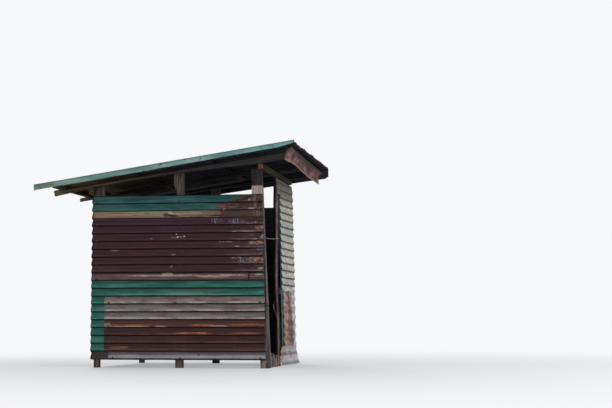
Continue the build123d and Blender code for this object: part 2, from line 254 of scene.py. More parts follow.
def make_rust_group():
    """Rust: how far it has got, its colour and its crust."""
    web, place, into, out = new_group("rust", "Grain Amount", "Mask Colour Crust")
    broad = web.noise(place, into["Grain"], 8.0, 0.62)
    fine = web.noise(place, into["Grain"] * 9.0, 4.0, 0.7)
    level = fine * 0.25 + broad * 0.75
    edge = 0.85 - into["Amount"] * 0.7
    web.feed(out["Mask"], web.spread(level, edge, edge + 0.07))
    shade = web.noise(web.stretch(place, (1, 1, 1), (3.1, 1.7, 5.3)), 16.0, 7.0, 0.7)
    brown = web.fade(shade, 0.38, 0.55, "#2b1714", "#5b3226")
    web.feed(out["Colour"], web.fade(shade, 0.58, 0.75, brown, "#9a5a34"))
    web.feed(out["Crust"], fine * web.spread(level, edge, edge + 0.2))
    return web.tree


def make_grime_group():
    """Dirt that runs down a face or splashes up from the ground."""
    web, place, into, out = new_group("grime", "Run Amount Splash", "Mask Colour")
    runs = web.noise(web.vector_math("MULTIPLY", place, into["Run"]), 1.0, 4.0, 0.6)
    uneven = web.noise(place, 7.0, 4.0, 0.6)
    low = web.spread(web.axes_of(place)[2] + uneven * 0.2, into["Splash"], -0.05)
    web.feed(out["Mask"], web.most(web.spread(runs, 0.5, 0.75) * into["Amount"], low * 0.6))
    web.feed(out["Colour"], web.blend(uneven, "#2a221c", "#6a5c4c"))
    return web.tree


def make_grain_group():
    """Timber with its grain along X: bands, fibres, greyed places and cracks."""
    web, place, into, out = new_group("grain", "Dark Light Grey Wear", "Colour Height Crack")
    bend = web.streaked(place, (2, 9, 9), 3.0, 0.5) * 0.03
    bent = web.vector_math("ADD", place, web.value("ShaderNodeCombineXYZ", {1: bend, 2: bend}))
    bands = web.streaked(bent, (1, 90, 90), 3.0, 0.55)
    fibres = web.streaked(place, (14, 420, 420), 3.0, 0.7)
    splits = web.streaked(bent, (2.6, 110, 110), 2.0, 0.5, (1.3, 2.1, 0.4))
    crack = web.spread(splits, 0.63, 0.69)
    stain = web.streaked(place, (2.2, 6, 6), 5.0, 0.6)
    tone = bands * 0.5 + fibres * 0.5
    sound, greyed = [web.fade(tone, 0.38, 0.6, into["Dark"], into[pale]) for pale in ("Light", "Grey")]
    aged = web.blend(web.spread(stain, 0.4, 0.66) * into["Wear"], sound, greyed)
    web.feed(out["Colour"], web.blend(crack * 0.85, aged, "#14100e"))
    web.feed(out["Height"], tone - crack * 1.4)
    web.feed(out["Crack"], crack)
    return web.tree


def make_scratch_group():
    """Short bright scratches and flakes, mostly along one way."""
    web, place, into, out = new_group("scratches", "Along Amount", "Mask")
    lines = web.noise(web.vector_math("MULTIPLY", place, into["Along"]), 1.0, 3.0, 0.75)
    level = lines + web.noise(place, 3.3, 3.0, 0.6) * 0.35
    edge = 1.02 - into["Amount"] * 0.3
    web.feed(out["Mask"], web.spread(level, edge, edge + 0.05))
    return web.tree


patch_group = make_patch_group()
rust_group = make_rust_group()
grime_group = make_grime_group()
grain_group = make_grain_group()
scratch_group = make_scratch_group()


class Finish(Web):
    """A material round one Principled shader, its patterns placed on the piece itself.

    Layers are laid over its base colour. A sheet's ribs are counted along an axis, from its low edge."""

    def __init__(self, name, node=None, axis=2):
        self.material = bpy.data.materials.new(name)
        self.material.use_nodes = True
        super().__init__(self.material.node_tree)
        self.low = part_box(node)[0][axis] if node else 0.0
        self.axis = axis
        self.wall = (0, marks_up, 1)
        if node:
            self.wall = (1, marks_up, 1) if node.startswith("front") else (0, self.low, rib_pitch)
        self.shader = self.tree.nodes["Principled BSDF"]
        self.place = self.outputs("ShaderNodeTexCoord")["Object"]
        self.axes = self.axes_of(self.place)
        self.facing = self.axes_of(self.outputs("ShaderNodeNewGeometry")["Normal"])

    def cloudy(self, first, second, low, high, size, detail, rough):
        """Starts from two colours in drawn-out clouds, and gives the clouds."""
        clouds = self.streaks(size, detail, rough)
        self.base = self.fade(clouds, low, high, first, second)
        return clouds

    def lay(self, mask, colour):
        self.base = self.blend(mask, self.base, colour)

    def lay_in(self, value, low, high, colour, share=1.0):
        """Lays a colour where a value goes from low to high."""
        self.base = self.fade(value, low, high, self.base, colour, share)

    def streaks(self, size, detail, rough, shift=(0, 0, 0)):
        return self.streaked(self.place, size, detail, rough, shift)

    def patch(self, centre, reach, ragged, grain):
        """A ragged spot, 1 inside."""
        sockets = {"centre": centre, "reach": reach, "ragged": ragged, "grain": grain}
        return self.group(patch_group, vector=self.place, **sockets)["Mask"]

    def spots(self, places, ragged, grain):
        """Ragged spots on a wall, as (place across it, height, half width, half height).

        On the near wall's sheets the heights are counted in ribs, elsewhere in metres."""
        across, foot, unit = self.wall
        mask = 0.0
        for middle, up, wide, tall in places:
            centre = [0, 0, foot + up * unit]
            reach = [endless, endless, tall * unit]
            centre[across] = middle
            reach[across] = wide
            mask = self.most(mask, self.patch(centre, reach, ragged, grain))
        return mask

    def mark(self, places, ragged, grain, share, colour):
        self.lay(self.spots(places, ragged, grain) * share, colour)

    def beyond(self, axis, edge, softness, ragged=0.0, grain=12.0):
        """1 past a place along an axis, with a wandering edge. A negative softness turns it round."""
        value = self.axes[axis]
        if ragged:
            value = value + (self.noise(self.place, grain, 5.0, 0.6) - 0.5) * ragged
        return self.spread(value, edge - softness / 2, edge + softness / 2)

    def band(self):
        """How far up its rib a place lies: 0 at one dark line, nearly 1 below the next."""
        return self.math("FRACT", (self.axes[self.axis] - self.low) / rib_pitch)

    def below_roof(self, node):
        """How far a place lies below the sloping top line of a piece that runs with the roof."""
        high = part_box(node)[1]
        slope = math.tan(roof_pitch)
        line = self.axes[0] * slope + (high.z - high.x * slope)
        return line - self.axes[2]

    def dirty(self, amount, splash=0.35, run=(26, 26, 2)):
        dirt = self.group(grime_group, vector=self.place, run=run, amount=amount, splash=splash)
        self.lay(dirt["Mask"], dirt["Colour"])

    def rust(self, grain, amount):
        return self.group(rust_group, vector=self.place, grain=grain, amount=amount)

    def rusted(self, grain, amount):
        """Lays rust and gives its crust."""
        rust = self.rust(grain, amount)
        self.lay(rust["Mask"], rust["Colour"])
        return rust["Crust"]

    def scratched(self, along, amount, share, colour):
        lines = self.group(scratch_group, vector=self.place, along=along, amount=amount)["Mask"]
        self.lay(lines * share, colour)

    def fold_shade(self, strength, dirt="#120c0c"):
        """A dark line in each trough, wider and narrower along its way: painted shade together with dirt, in
        the colour given as dirt.
        """
        turn = (self.axes[self.axis] - self.low) * (2 * math.pi / rib_pitch)
        crest = 0.5 - self.math("COSINE", turn) * 0.5
        self.lay_in(crest + self.streaks((7, 7, 7), 3, 0.6) * 0.07, 0.17, 0.05, dirt, strength)

    def painted_rib_light(self, low, high):
        """Painted light and shade across each rib: brightest just above its dark line and darker towards the
        next.
        """
        self.base = self.vector_math("MULTIPLY", self.base, self.spread(self.band(), 0.15, 0.95, low, high))

    def crest_line(self, share, fine=4.0):
        """A broken line along each crest, where wear comes first; laid pale, it is worn paint and a painted
        highlight together.
        """
        height = self.band()
        rise = self.spread(height, 0.06, 0.14) * self.spread(height, 0.36, 0.2)
        return rise * self.spread(self.streaks((fine, fine, 40), 5, 0.65), 0.38, 0.6) * share

    def mottled(self, colours, size):
        """Four colours mixed in small clouds."""
        cloud = self.streaks(size, 5.0, 0.7)
        mixed = colours[0]
        for (low, high), colour in zip(((0.38, 0.44), (0.47, 0.53), (0.56, 0.63)), colours[1:]):
            mixed = self.fade(cloud, low, high, mixed, colour)
        return mixed

    def dark_inside(self, axis, way, dark="#3a3d48"):
        """Painted shade: the faces that look into the hut are darkened."""
        self.lay_in(self.facing[axis] * -way, 0.1, 0.4, dark, 0.92)

    def close(self, rough, height=None, bump=0.5, depth=0.002):
        sockets = {"Base Color": self.base, "Roughness": rough, "Specular IOR Level": sheen}
        if height is not None:
            shape = {"Height": height, "Strength": bump, "Distance": depth}
            sockets["Normal"] = self.value("ShaderNodeBump", shape)
        for key, value in sockets.items():
            self.feed(self.shader.inputs[key], value)
        return self.material


# Timber finishes. The turn brings the grain from X to the way that the piece runs
upright = (0, math.radians(90), 0)
crosswise = (0, 0, math.radians(90))
down_the_roof = (0, roof_pitch, 0)


def timber(name, dark, light, grey, wear, turn=(0, 0, 0), grime=0.5, extra=None):
    """Weathered timber, with an extra layer of colour where a piece has its own marks."""
    finish = Finish(name)
    turned = finish.value("ShaderNodeMapping", {"Vector": finish.place, "Rotation": turn})
    grain = finish.group(grain_group, vector=turned, wear=wear, dark=dark, light=light, grey=grey)
    finish.base = grain["Colour"]
    finish.crack = grain["Crack"]
    finish.dirty(grime, 0.4, (30, 30, 1.5))
    if extra:
        extra(finish)
    return finish.close(0.88, grain["Height"], 0.8, 0.0025)


def pale_runs(finish, share, colour):
    """Thin pale runs down the front end of the long wall's upper pieces."""
    runs = finish.spread(finish.streaks((60, 1, 7), 2, 0.5), 0.45, 0.6)
    finish.lay(runs * finish.beyond(0, 0.84, 0.08) * share, colour)


def tan_rail_marks(finish):
    """The rail's knot, the red streak beside it and the brown half behind it."""
    knot = [(-0.025, 1.468, 0.05, 0.02), (0.035, 1.458, 0.045, 0.012)]
    finish.mark(knot, 1.1, 40.0, 1.0, "#3b2320")
    # A pale spot on the knot: a painted highlight
    finish.mark([(0.004, 1.487, 0.028, 0.013)], 0.8, 50.0, 1.0, "#b3a3a0")
    red_streak = [(0.26, 1.468, 0.16, 0.012), (0.36, 1.488, 0.07, 0.01)]
    finish.mark(red_streak, 1.2, 30.0, 0.6, "#74473b")
    lines = finish.streaks((3, 20, 130), 3, 0.6, (2, 0, 1))
    finish.lay_in(lines, 0.5, 0.62, "#b7a48d", 0.5)
    finish.lay_in(lines, 0.47, 0.36, "#7a5847", 0.5)
    low_edge = finish.beyond(2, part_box("near_maroon_sheet")[1].z + 0.012, -0.02, 0.01)
    finish.lay(low_edge * 0.5, "#4a3c33")
    brown = finish.blend(finish.streaks((5, 20, 90), 5, 0.6), "#33211f", "#5f4747")
    finish.lay(finish.beyond(0, 0.47, 0.18, 0.3, 20.0) * 0.95, brown)
    pale_runs(finish, 0.4, "#8f8386")
    reddish = finish.patch((-0.62, 0, 1.49), (0.2, endless, 0.05), 0.9, 9.0)
    finish.lay(reddish * 0.35, "#96684f")
    finish.lay(finish.crack, "#251a17")


def header_end_marks(finish):
    """Raw orange-brown wood at the front header's near end."""
    raw = finish.patch((0.896, -0.9, 1.949), (0.09, 0.09, 0.07), 0.5, 30.0)
    finish.lay(raw * 0.85, "#8a6048")


def shaded_head(finish):
    """Soot and shade stain the head of the near front post, above the block."""
    head = finish.beyond(2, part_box("post_block")[1].z, 0.03, 0.02)
    finish.lay(head * 0.8, "#17171d")
    fibres = finish.streaks((70, 70, 6), 3, 0.7)
    foot = finish.beyond(2, 0.22, -0.2, 0.1)
    finish.lay(foot * finish.spread(fibres, 0.5, 0.6, 0.0, 0.75), "#a08f83")
    finish.lay(foot * finish.spread(fibres, 0.46, 0.38, 0.0, 0.8), "#241b19")
    knots = finish.patch((0, -0.8, 0.6), (endless, 0.05, 0.012), 0.6, 40.0)
    finish.lay(knots * 0.8, "#1c1514")
    finish.lay(finish.crack, "#14100e")


def lit_edge(finish):
    """The door pole: a pinkish painted highlight down its front, between two sides darkened with painted
    shade; the branch's stub is painted bright, its pale wood with painted light, and a pale sliver crosses
    the pole.
    """
    x, z = finish.axes[::2]
    front = finish.facing[0]
    fibres = finish.streaks((90, 90, 5), 3, 0.7)
    # Painted highlight on the faces towards the front
    finish.lay_in(front, 0.05, 0.35, finish.fade(fibres, 0.4, 0.6, "#725d5d", "#ad9490"), 0.8)
    finish.lay(finish.crack, "#2a2021")
    fall = 0.617 - z
    level = finish.spread(abs(fall - 0.04), 0.09, 0.07)
    stub = finish.spread(x, 0.905, stub_edge) * level
    # Painted shade on both sides of the pole, but not on the stub
    away = finish.most(finish.spread(front, 0.6, 0.8), finish.spread(front, 0.15, -0.3))
    finish.lay(away * (0.85 - stub), "#1b161a")
    # Painted light on the branch's stub, which is pale wood
    finish.lay(stub * 0.85, "#dccac4")
    sliver = finish.spread(abs(x - 0.885 - fall * 0.33), 0.009, 0.004)
    reach = finish.spread(abs(fall - 0.07), 0.09, 0.07, 0.0, 0.75)
    finish.lay(sliver * reach, "#a3918f")


def brown_tail(finish):
    """Roof timber is browner behind the back wall, where light reaches it."""
    finish.lay_in(finish.axes[0], -0.5, -0.9, "#66523f", 0.7)


def rafter_shade(finish):
    """The near rafter is black with shade along its top, under the verge."""
    under = finish.below_roof("rafter_near") + finish.streaks((4, 1, 1), 3, 0.6) * 0.008
    # Painted shade: darker and greyer towards the front
    finish.lay_in(finish.axes[0], -0.7, 0.5, "#40404a", 0.8)
    finish.lay_in(under, 0.024, 0.01, "#0d0d12", 0.8)


def splintered(finish):
    """Pale raw fibres and dark gaps in the rotted boards."""
    fibres = finish.streaks((60, 60, 5), 3, 0.7)
    finish.lay_in(fibres, 0.5, 0.6, "#b19e90", 0.85)
    finish.lay_in(fibres, 0.47, 0.39, "#1f1715", 0.9)


# Each wood by name: its dark, light and grey, how worn it is, its grain's turn, its dirt and its marks
wood = {
    name: timber(name + "_wood", *entries)
    for name, *entries in (
        ("post", "#2d2420", "#66584e", "#867a72", 0.7, upright),
        ("front_post", "#3a3130", "#77696a", "#94898b", 0.9, upright, 0.5, shaded_head),
        ("block", "#94867b", "#bcada3", "#c4b9b2", 0.5, upright, 0.1),
        # The rafters and purlins deep under the roof are near black and bluish as painted shade; the near
        # rafter is a lighter, lit copy
        ("beam", "#1b1b1f", "#3b3b41", "#424248", 0.5, down_the_roof, 0.2, brown_tail),
        ("near_beam", "#3a3227", "#86755c", "#8a7c66", 0.5, down_the_roof, 0.2, rafter_shade),
        ("purlin", "#18181c", "#35353b", "#3e3e45", 0.5, crosswise, 0.2, brown_tail),
        ("header", "#221d17", "#5c513f", "#655b4c", 0.5, crosswise, 0.2, header_end_marks),
        ("rail", "#232124", "#434046", "#55525a", 0.7),
        ("back_rail", "#232124", "#434046", "#55525a", 0.7, crosswise),
        ("tan", "#77675a", "#9d8b78", "#968b7f", 0.5, (0, 0, 0), 0.15, tan_rail_marks),
        ("pole", "#241b1c", "#655455", "#887c80", 0.8, upright, 0.4, lit_edge),
        ("sill", "#2f2624", "#84746a", "#9c8f87", 0.9, upright, 0.3, splintered),
    )
}


# Sheet finishes
def zinc(name, node, axis, bloom):
    """Dulled galvanising: cloudy grey with white bloom."""
    finish = Finish(name, node, axis)
    finish.cloudy("#625c5e", "#918b8d", 0.35, 0.65, (3, 3, 20), 6, 0.65)
    finish.lay_in(finish.noise(finish.place, 24.0, 6.0, 0.7), 0.5, 0.8, "#a9a5a8", bloom)
    return finish


def painted(name, node, paint, chalk, size=(4, 4, 40)):
    """Old paint: cloudy along the ribs, chalky where it faces the sky."""
    finish = Finish(name, node)
    finish.cloudy(paint, chalk, 0.35, 0.75, size, 5, 0.6)
    finish.lay_in(finish.facing[2], 0.4, 0.9, chalk, 0.25)
    return finish


def green_wall_finish():
    """The green sheet behind the long wall's lower half."""
    finish = painted("green_wall_paint", "near_green_sheet", "#1d5147", "#40776d")
    finish.mark([(0.3, 7.72, 0.3, 0.16), (0.05, 7.55, 0.2, 0.1)], 1.2, 12.0, 0.5, "#56604f")
    pale = [(0.2, 7.2, 0.4, 0.14), (0.55, 7.2, 0.25, 0.1), (-0.3, 7.2, 0.2, 0.08)]
    finish.mark(pale, 1.2, 12.0, 0.32, "#7f9e90")
    finish.scratched((7, 7, 110), 0.5, 0.5, "#86a79f")
    crust = finish.rusted(6.0, 0.35)
    finish.dirty(0.2)
    # Painted light and shade across each rib, and painted shade with dirt in each trough
    finish.painted_rib_light(1.2, 0.72)
    finish.fold_shade(0.8)
    return finish.close(0.6, crust, 0.4)


def top_sheet_finish():
    """The short green sheet: rust has eaten it from a slanting line to its front end."""
    finish = painted("green_top_paint", "near_top_sheet", "#1e4a49", "#436f6e")
    low = finish.low
    rust = finish.rust(7.0, 0.45)
    brown = finish.mottled(("#241719", "#3b2829", "#4d3737", "#6f5754"), (14, 14, 60))
    brown = finish.blend(rust["Mask"] * 0.35, brown, rust["Colour"])
    above = finish.most(finish.axes[2] - (low + 0.075), 0.0)
    slant = finish.axes[0] - above * 3.1 - finish.beyond(2, low + rib_pitch, 0.004) * 0.08
    slant = slant + (finish.streaks((11, 11, 40), 6, 0.7) - 0.5) * 0.2
    finish.lay_in(slant, 0.46, 0.485, brown)
    finish.mark([(0.52, 0.62, 0.06, 0.24), (0.63, 0.4, 0.06, 0.12)], 1.1, 25.0, 0.45, "#835d55")
    pale_runs(finish, 0.55, "#8f8589")
    dots = [(0.79, 1.3, 0.01, 0.1), (0.81, 0.2, 0.035, 0.08), (0.545, 0.1, 0.012, 0.1)]
    finish.mark(dots, 0.8, 50.0, 0.8, "#a79ea0")
    finish.dirty(0.12, 0.0)
    # Painted light and shade across each rib, and painted shade with dirt in each trough
    finish.painted_rib_light(1.1, 0.85)
    finish.fold_shade(0.75)
    return finish.close(0.65, rust["Crust"], 0.4)


def maroon_wear(finish):
    """What weather has done at the maroon sheet's front end, rib by rib."""
    x, z = finish.axes[::2]
    # Pale broken lines along the crests at the front end: worn paint and a painted highlight
    finish.lay(finish.crest_line(0.45, 9.0) * finish.beyond(0, 0.65, 0.4, 0.4), "#8f8184")
    streaks = finish.spread(finish.streaks((9, 9, 150), 3, 0.6, (5, 0, 0)), 0.53, 0.64, 0.0, 0.5)
    finish.lay(streaks * finish.beyond(0, 0.72, 0.35, 0.4), "#84696b")
    smears = [
        (0.48, 7.5, 0.07, 0.36), (0.67, 7.47, 0.09, 0.38), (0.85, 7.25, 0.07, 0.14),
        (0.78, 2.5, 0.11, 0.34), (0.9, 4.1, 0.05, 0.2),
    ]
    smears = finish.spots(smears, 1.4, 16.0)
    rubbed = finish.value("ShaderNodeCombineXYZ", {0: x + z * 0.25, 2: z})
    dashes = finish.streaked(rubbed, (75, 1, 7), 1.0, 0.4)
    finish.lay(smears * 0.6, "#463a4b")
    rubs = finish.spread(finish.streaks((19, 1, 19), 2, 0.6, (3, 0, 0)), 0.42, 0.6)
    finish.lay(smears * finish.spread(dashes, 0.45, 0.66, 0.0, 0.75) * rubs, "#8d848f")
    orange = [
        (0.9, 6.66, 0.06, 0.3), (0.87, 4.7, 0.1, 0.3), (0.85, 2.66, 0.09, 0.32),
        (0.56, 4.84, 0.1, 0.08), (0.66, 2.8, 0.06, 0.14), (0.9, 1.5, 0.03, 0.1),
    ]
    broken = finish.streaked(rubbed, (26, 26, 60), 4.0, 0.65, (0.4, 0, 2.2))
    orange = finish.spots(orange, 1.1, 15.0) * finish.spread(broken, 0.4, 0.54)
    warm = finish.streaked(rubbed, (17, 17, 30), 2.0, 0.5, (3, 1, 2))
    bare = finish.fade(warm, 0.4, 0.6, "#7d5a4a", "#a9794f")
    pale = finish.streaked(rubbed, (50, 50, 90), 3.0, 0.6, (6, 4, 5))
    finish.lay(orange * 0.9, finish.fade(pale, 0.5, 0.64, bare, "#bfae9f", 0.8))
    pale = [
        (0.9, 3.92, 0.045, 0.16), (0.925, 5.5, 0.02, 0.28), (0.88, 5.15, 0.06, 0.06),
        (0.93, 2.5, 0.015, 0.3), (0.74, 6.15, 0.13, 0.05), (0.915, 3.35, 0.035, 0.05),
        (0.905, 1.45, 0.035, 0.07), (0.67, 4.25, 0.025, 0.08),
    ]
    fine = finish.spread(finish.streaks((20, 20, 130), 4, 0.7), 0.38, 0.6, 0.1, 0.8)
    finish.lay(finish.spots(pale, 1.3, 34.0) * fine, "#a39fab")


def maroon_foot(finish):
    """The lowest rib, rubbed bare along its middle and pink below."""
    low = finish.low
    band = finish.beyond(2, low + 0.004, 0.006) * finish.beyond(2, low + 0.062, -0.012, 0.02)
    lines = finish.streaks((3.4, 3.4, 150), 4, 0.65, (0.7, 0, 0))
    finish.lay(band * 0.92, finish.fade(lines, 0.36, 0.62, "#3d2528", "#755856"))
    white = [(-0.03, 0.6, 0.44, 0.13), (0.58, 0.62, 0.23, 0.13), (0.89, 0.66, 0.06, 0.12)]
    chips = finish.spread(lines * finish.streaks((22, 22, 60), 4, 0.7), 0.16, 0.3, 0.1, 0.95)
    finish.lay(finish.spots(white, 1.0, 14.0) * chips, "#9f9492")
    bare = [(-0.02, 0.78, 0.06, 0.2), (0.4, 0.45, 0.12, 0.14), (0.5, 0.4, 0.1, 0.1)]
    finish.mark(bare, 1.1, 26.0, 0.7, "#a39182")
    # Painted shade on the upper part of the lowest rib, below the next dark line
    finish.lay(finish.spread(finish.band(), 0.74, 0.95, 0.0, 0.6) * band, "#3a2228")
    finish.mark([(0.79, 0.5, 0.008, 0.6)], 0.5, 60.0, 1.0, "#120c0c")


def maroon_marks(finish):
    """A purple bloom, the worn front end, scuffs and specks."""
    finish.mark([(-0.35, 7.5, 0.5, 0.6), (0.1, 6.5, 0.2, 0.4)], 1.2, 5.0, 0.5, "#38263a")
    maroon_wear(finish)
    scuffs = [
        (0.083, 5.47, 0.013, 0.09), (0.15, 5.6, 0.01, 0.06), (0.068, 5.85, 0.007, 0.06),
        (0.115, 5.52, 0.03, 0.02),
    ]
    finish.mark(scuffs, 0.7, 60.0, 0.85, "#d8d1d4")
    specks = [
        (-0.18, 5.3, 0.016, 0.08), (0.044, 3.25, 0.024, 0.09), (0.02, 1.75, 0.016, 0.13),
        (-0.55, 3.9, 0.04, 0.16), (0.04, 5.45, 0.03, 0.05),
    ]
    finish.mark(specks, 1.1, 60.0, 0.6, "#847a85")


def maroon_finish(name, node, outward=None):
    """Maroon paint. Only the sheet on the long wall has marks at its front end and foot."""
    marked = outward is None
    finish = painted(name, node, "#341b23", "#46292f", (3, 3, 60))
    crust = finish.rusted(4.0, 0.3 if marked else 0.55)
    finish.scratched((60, 60, 150), 0.3, 0.6, "#84767a")
    finish.dirty(0.1)
    finish.lay_in(finish.streaks((1.7, 1.7, 16), 4, 0.6, (0.9, 0, 0)), 0.5, 0.68, "#2b161c", 0.5)
    if marked:
        maroon_marks(finish)
    # Painted light and shade across each rib, and painted shade with dirt in each trough
    finish.painted_rib_light(1.05, 0.9)
    finish.fold_shade(0.85)
    if marked:
        maroon_foot(finish)
    else:
        # Painted shade on the faces that look into the hut
        finish.dark_inside(*outward)
    return finish.close(0.6, crust, 0.4)


def old_grey(finish):
    """The three upper ribs: grey, smeared with brown, bright along their crests with wear and a painted
    highlight.
    """
    finish.cloudy("#57504f", "#7d7677", 0.35, 0.65, (3, 3, 120), 4, 0.65)
    finish.lay_in(finish.streaks((5, 5, 26), 5, 0.65, (4.4, 0, 0)), 0.5, 0.66, "#5f423d", 0.75)
    finish.lay_in(finish.streaks((6, 6, 30), 6, 0.7, (1.1, 0, 3)), 0.52, 0.68, "#8f8c92", 0.5)
    finish.lay(finish.crest_line(0.8, 6.0), "#bdaea8")
    return finish.base


def old_brown(finish):
    """The four lower ribs: brown paint that lets rust through along the crests."""
    finish.cloudy("#2c1719", "#432927", 0.35, 0.65, (3, 3, 120), 4, 0.65)
    finish.lay(finish.crest_line(0.55), "#6d4a45")
    finish.lay(finish.beyond(2, finish.low + 3 * rib_pitch, 0.01, 0.01) * 0.4, "#5c3c36")
    rust = [
        (0.34, 3.3, 0.13, 0.14), (0.78, 3.36, 0.19, 0.14), (0.25, 2.3, 0.2, 0.14),
        (0.76, 2.3, 0.17, 0.12), (-0.5, 0.45, 0.12, 0.16), (-0.35, 3.3, 0.25, 0.1),
    ]
    rusty = finish.mottled(("#55302a", "#764532", "#8f5138", "#b0764f"), (12, 12, 90))
    finish.mark(rust, 1.2, 18.0, 0.85, rusty)
    pale = [(-0.08, 3.16, 0.06, 0.07), (-0.4, 3.14, 0.22, 0.06), (0.5, 3.2, 0.1, 0.06)]
    finish.mark(pale, 1.2, 30.0, 0.75, "#b09c8c")
    return finish.base


def old_wall_finish():
    """The patch of old sheet on the long wall: grey for three ribs, then brown."""
    finish = Finish("old_wall_sheet", "near_old_sheet")
    upper = finish.beyond(2, finish.low + 4 * rib_pitch, 0.01, 0.01)
    finish.base = finish.blend(upper, old_brown(finish), old_grey(finish))
    spots = [(0.376, 6.75, 0.022, 0.18), (0.586, 6.75, 0.03, 0.16), (0.845, 6.74, 0.035, 0.14)]
    orange = finish.mottled(("#6e4a3a", "#8d6242", "#ab7444", "#b98a5e"), (40, 40, 90))
    finish.mark(spots, 1.1, 40.0, 0.65, orange)
    reds = [
        (0.29, 6.5, 0.04, 0.2), (0.66, 6.5, 0.04, 0.2), (0.02, 6.65, 0.07, 0.2),
        (0.05, 5.75, 0.11, 0.14), (0.72, 5.4, 0.14, 0.1),
    ]
    finish.mark(reds, 1.9, 22.0, 0.65, "#67403b")
    finish.mark([(-0.62, 3.3, 0.05, 0.36), (-0.6, 6.3, 0.06, 0.3)], 1.9, 24.0, 0.6, "#94786a")
    finish.dirty(0.15, 0.2)
    # Painted light and shade across each rib, and painted shade with dirt in each trough
    finish.painted_rib_light(1.1, 0.85)
    finish.fold_shade(0.85)
    return finish.close(0.62, finish.rust(9.0, 0.5)["Crust"], 0.4)


def strip_finish():
    """Dull galvanised sheet with a painted highlight along its crest, painted shade on the upper part of its
    rib and painted shade with dirt in its folds.
    """
    finish = zinc("strip_zinc", "near_foot_strip", 2, 0.5)
    finish.base = finish.vector_math("MULTIPLY", finish.base, (0.84, 0.84, 0.82))
    crust = finish.rusted(8.0, 0.4)
    height = finish.band()
    # Painted shade on the rib's upper part, then a painted highlight along its crest
    finish.lay_in(height, 0.45, 0.75, "#413b41", 0.75)
    finish.lay(finish.spread(height, 0.1, 0.2) * finish.spread(height, 0.55, 0.4) * 0.45, "#a7a5b1")
    finish.dirty(0.2, 0.06)
    finish.fold_shade(0.7)
    return finish.close(0.5, crust, 0.4)


def rusted_zinc(name, node, axis, amount, run=(26, 26, 2)):
    """Galvanised sheet that is mostly rust: the finish so far and its crust."""
    finish = zinc(name, node, axis, 0.7)
    crust = finish.rusted(2.6, amount)
    finish.rusted(17.0, amount * 0.8)
    finish.dirty(0.45, 0.35, run)
    finish.fold_shade(0.5)
    return finish, crust


def old_sheet_finish(name, node, amount, outward):
    """Rusted sheet low on the far and back walls."""
    finish, crust = rusted_zinc(name, node, 2, amount)
    # Painted shade on the faces that look into the hut
    finish.dark_inside(*outward)
    return finish.close(0.68, crust, 0.5)


def roof_finish(name, node, amount):
    """Old roof sheet: rust and zinc above; below, painted shade, brown at the back and bluish grey at the
    front, near black deep under the roof, lighter under the eave, bare along its front edge.
    """
    finish, crust = rusted_zinc(name, node, 1, amount, (2.5, 30, 2.5))
    x, y = finish.axes[:2]
    # Painted light and shade on the underside: darker deeper under the roof, lighter under the near eave
    front = finish.spread(x, -0.9, 0.3)
    deep = finish.fade(y, 0.1, 0.8, finish.blend(front, "#6b5d4c", "#3a3c47"), "#16161b", 0.75)
    eave = finish.blend(front, "#ab8c6b", "#525059")
    under = finish.blend(finish.beyond(1, -0.83, 0.04), eave, deep)
    clouds = finish.streaks((2.5, 12, 2), 4, 0.6)
    under = finish.fade(clouds, 0.5, 0.66, under, "#1b1818", 0.5)
    bare = finish.beyond(0, 1.22, 0.05, 0.08) * finish.spread(clouds, 0.42, 0.52, 0.0, 0.55)
    finish.dark_inside(2, 1, finish.blend(bare, under, finish.base))
    return finish.close(0.68, crust, 0.5)


def sagging(finish):
    """Counts the front wall's ribs where they hang, as front_sag does for the sheets themselves."""
    low, high = front_corners
    x, y, z = finish.axes
    fall = (high.y - y) / (high.y - low.y) * ((z - low.z) / (high.z - low.z)) * sag_corner
    finish.axes = [x, y, fall + sag_even + z]


def cream_finish():
    """Cream paint on the front wall, stained brown along the ribs, bluish in places, with a painted shadow
    of the roof at its top and painted shade with dirt in the troughs.
    """
    finish = Finish("cream_paint", "front_cream_sheet")
    low = finish.low
    hem = finish.beyond(2, low + 0.016, -0.012)
    # Painted shadow of the roof over the sheet's top
    shaded = finish.beyond(2, 1.72, 0.14, 0.1)
    sagging(finish)
    finish.cloudy("#b2aa9a", "#e0dbcf", 0.35, 0.65, (9, 9, 20), 6, 0.65)
    finish.mark([(0.45, 1.4, 0.5, 0.07), (0.45, 0.83, 0.45, 0.045)], 0.7, 9.0, 0.75, "#acb8ba")
    green = finish.streaks((9, 9, 12), 5, 0.65, (2, 5, 1))
    finish.lay_in(green, 0.54, 0.72, "#8d8b7b", 0.5)
    pinkish = finish.beyond(2, 1.5, 0.1, 0.2) * finish.spread(green, 0.52, 0.4)
    finish.lay(pinkish * 0.45, "#a08a7c")
    height = finish.band()
    near_line = finish.most(finish.spread(height, 0.7, 0.98), finish.spread(height, 0.2, 0.05))
    stain = finish.streaks((16, 16, 12), 6, 0.7, (7, 3, 2)) + near_line * 0.2
    finish.lay_in(stain, 0.54, 0.72, "#745c4a", 0.85)
    chips = finish.noise(finish.place, 70.0, 4.0, 0.6)
    finish.lay_in(chips, 0.62, 0.7, "#54453b", 0.85)
    finish.lay(shaded * 0.85, "#505249")
    rim = finish.beyond(1, front_corners[0].y + 0.09, -0.05, 0.03) * finish.beyond(2, 1.62, -0.1)
    finish.lay(rim * 0.5, "#b4c2c3")
    finish.lay(hem, "#dfe3e2")
    finish.dirty(0.2, 0.0, (40, 40, 3))
    finish.fold_shade(0.9, "#2b211b")
    return finish.close(0.6, chips, 0.2)


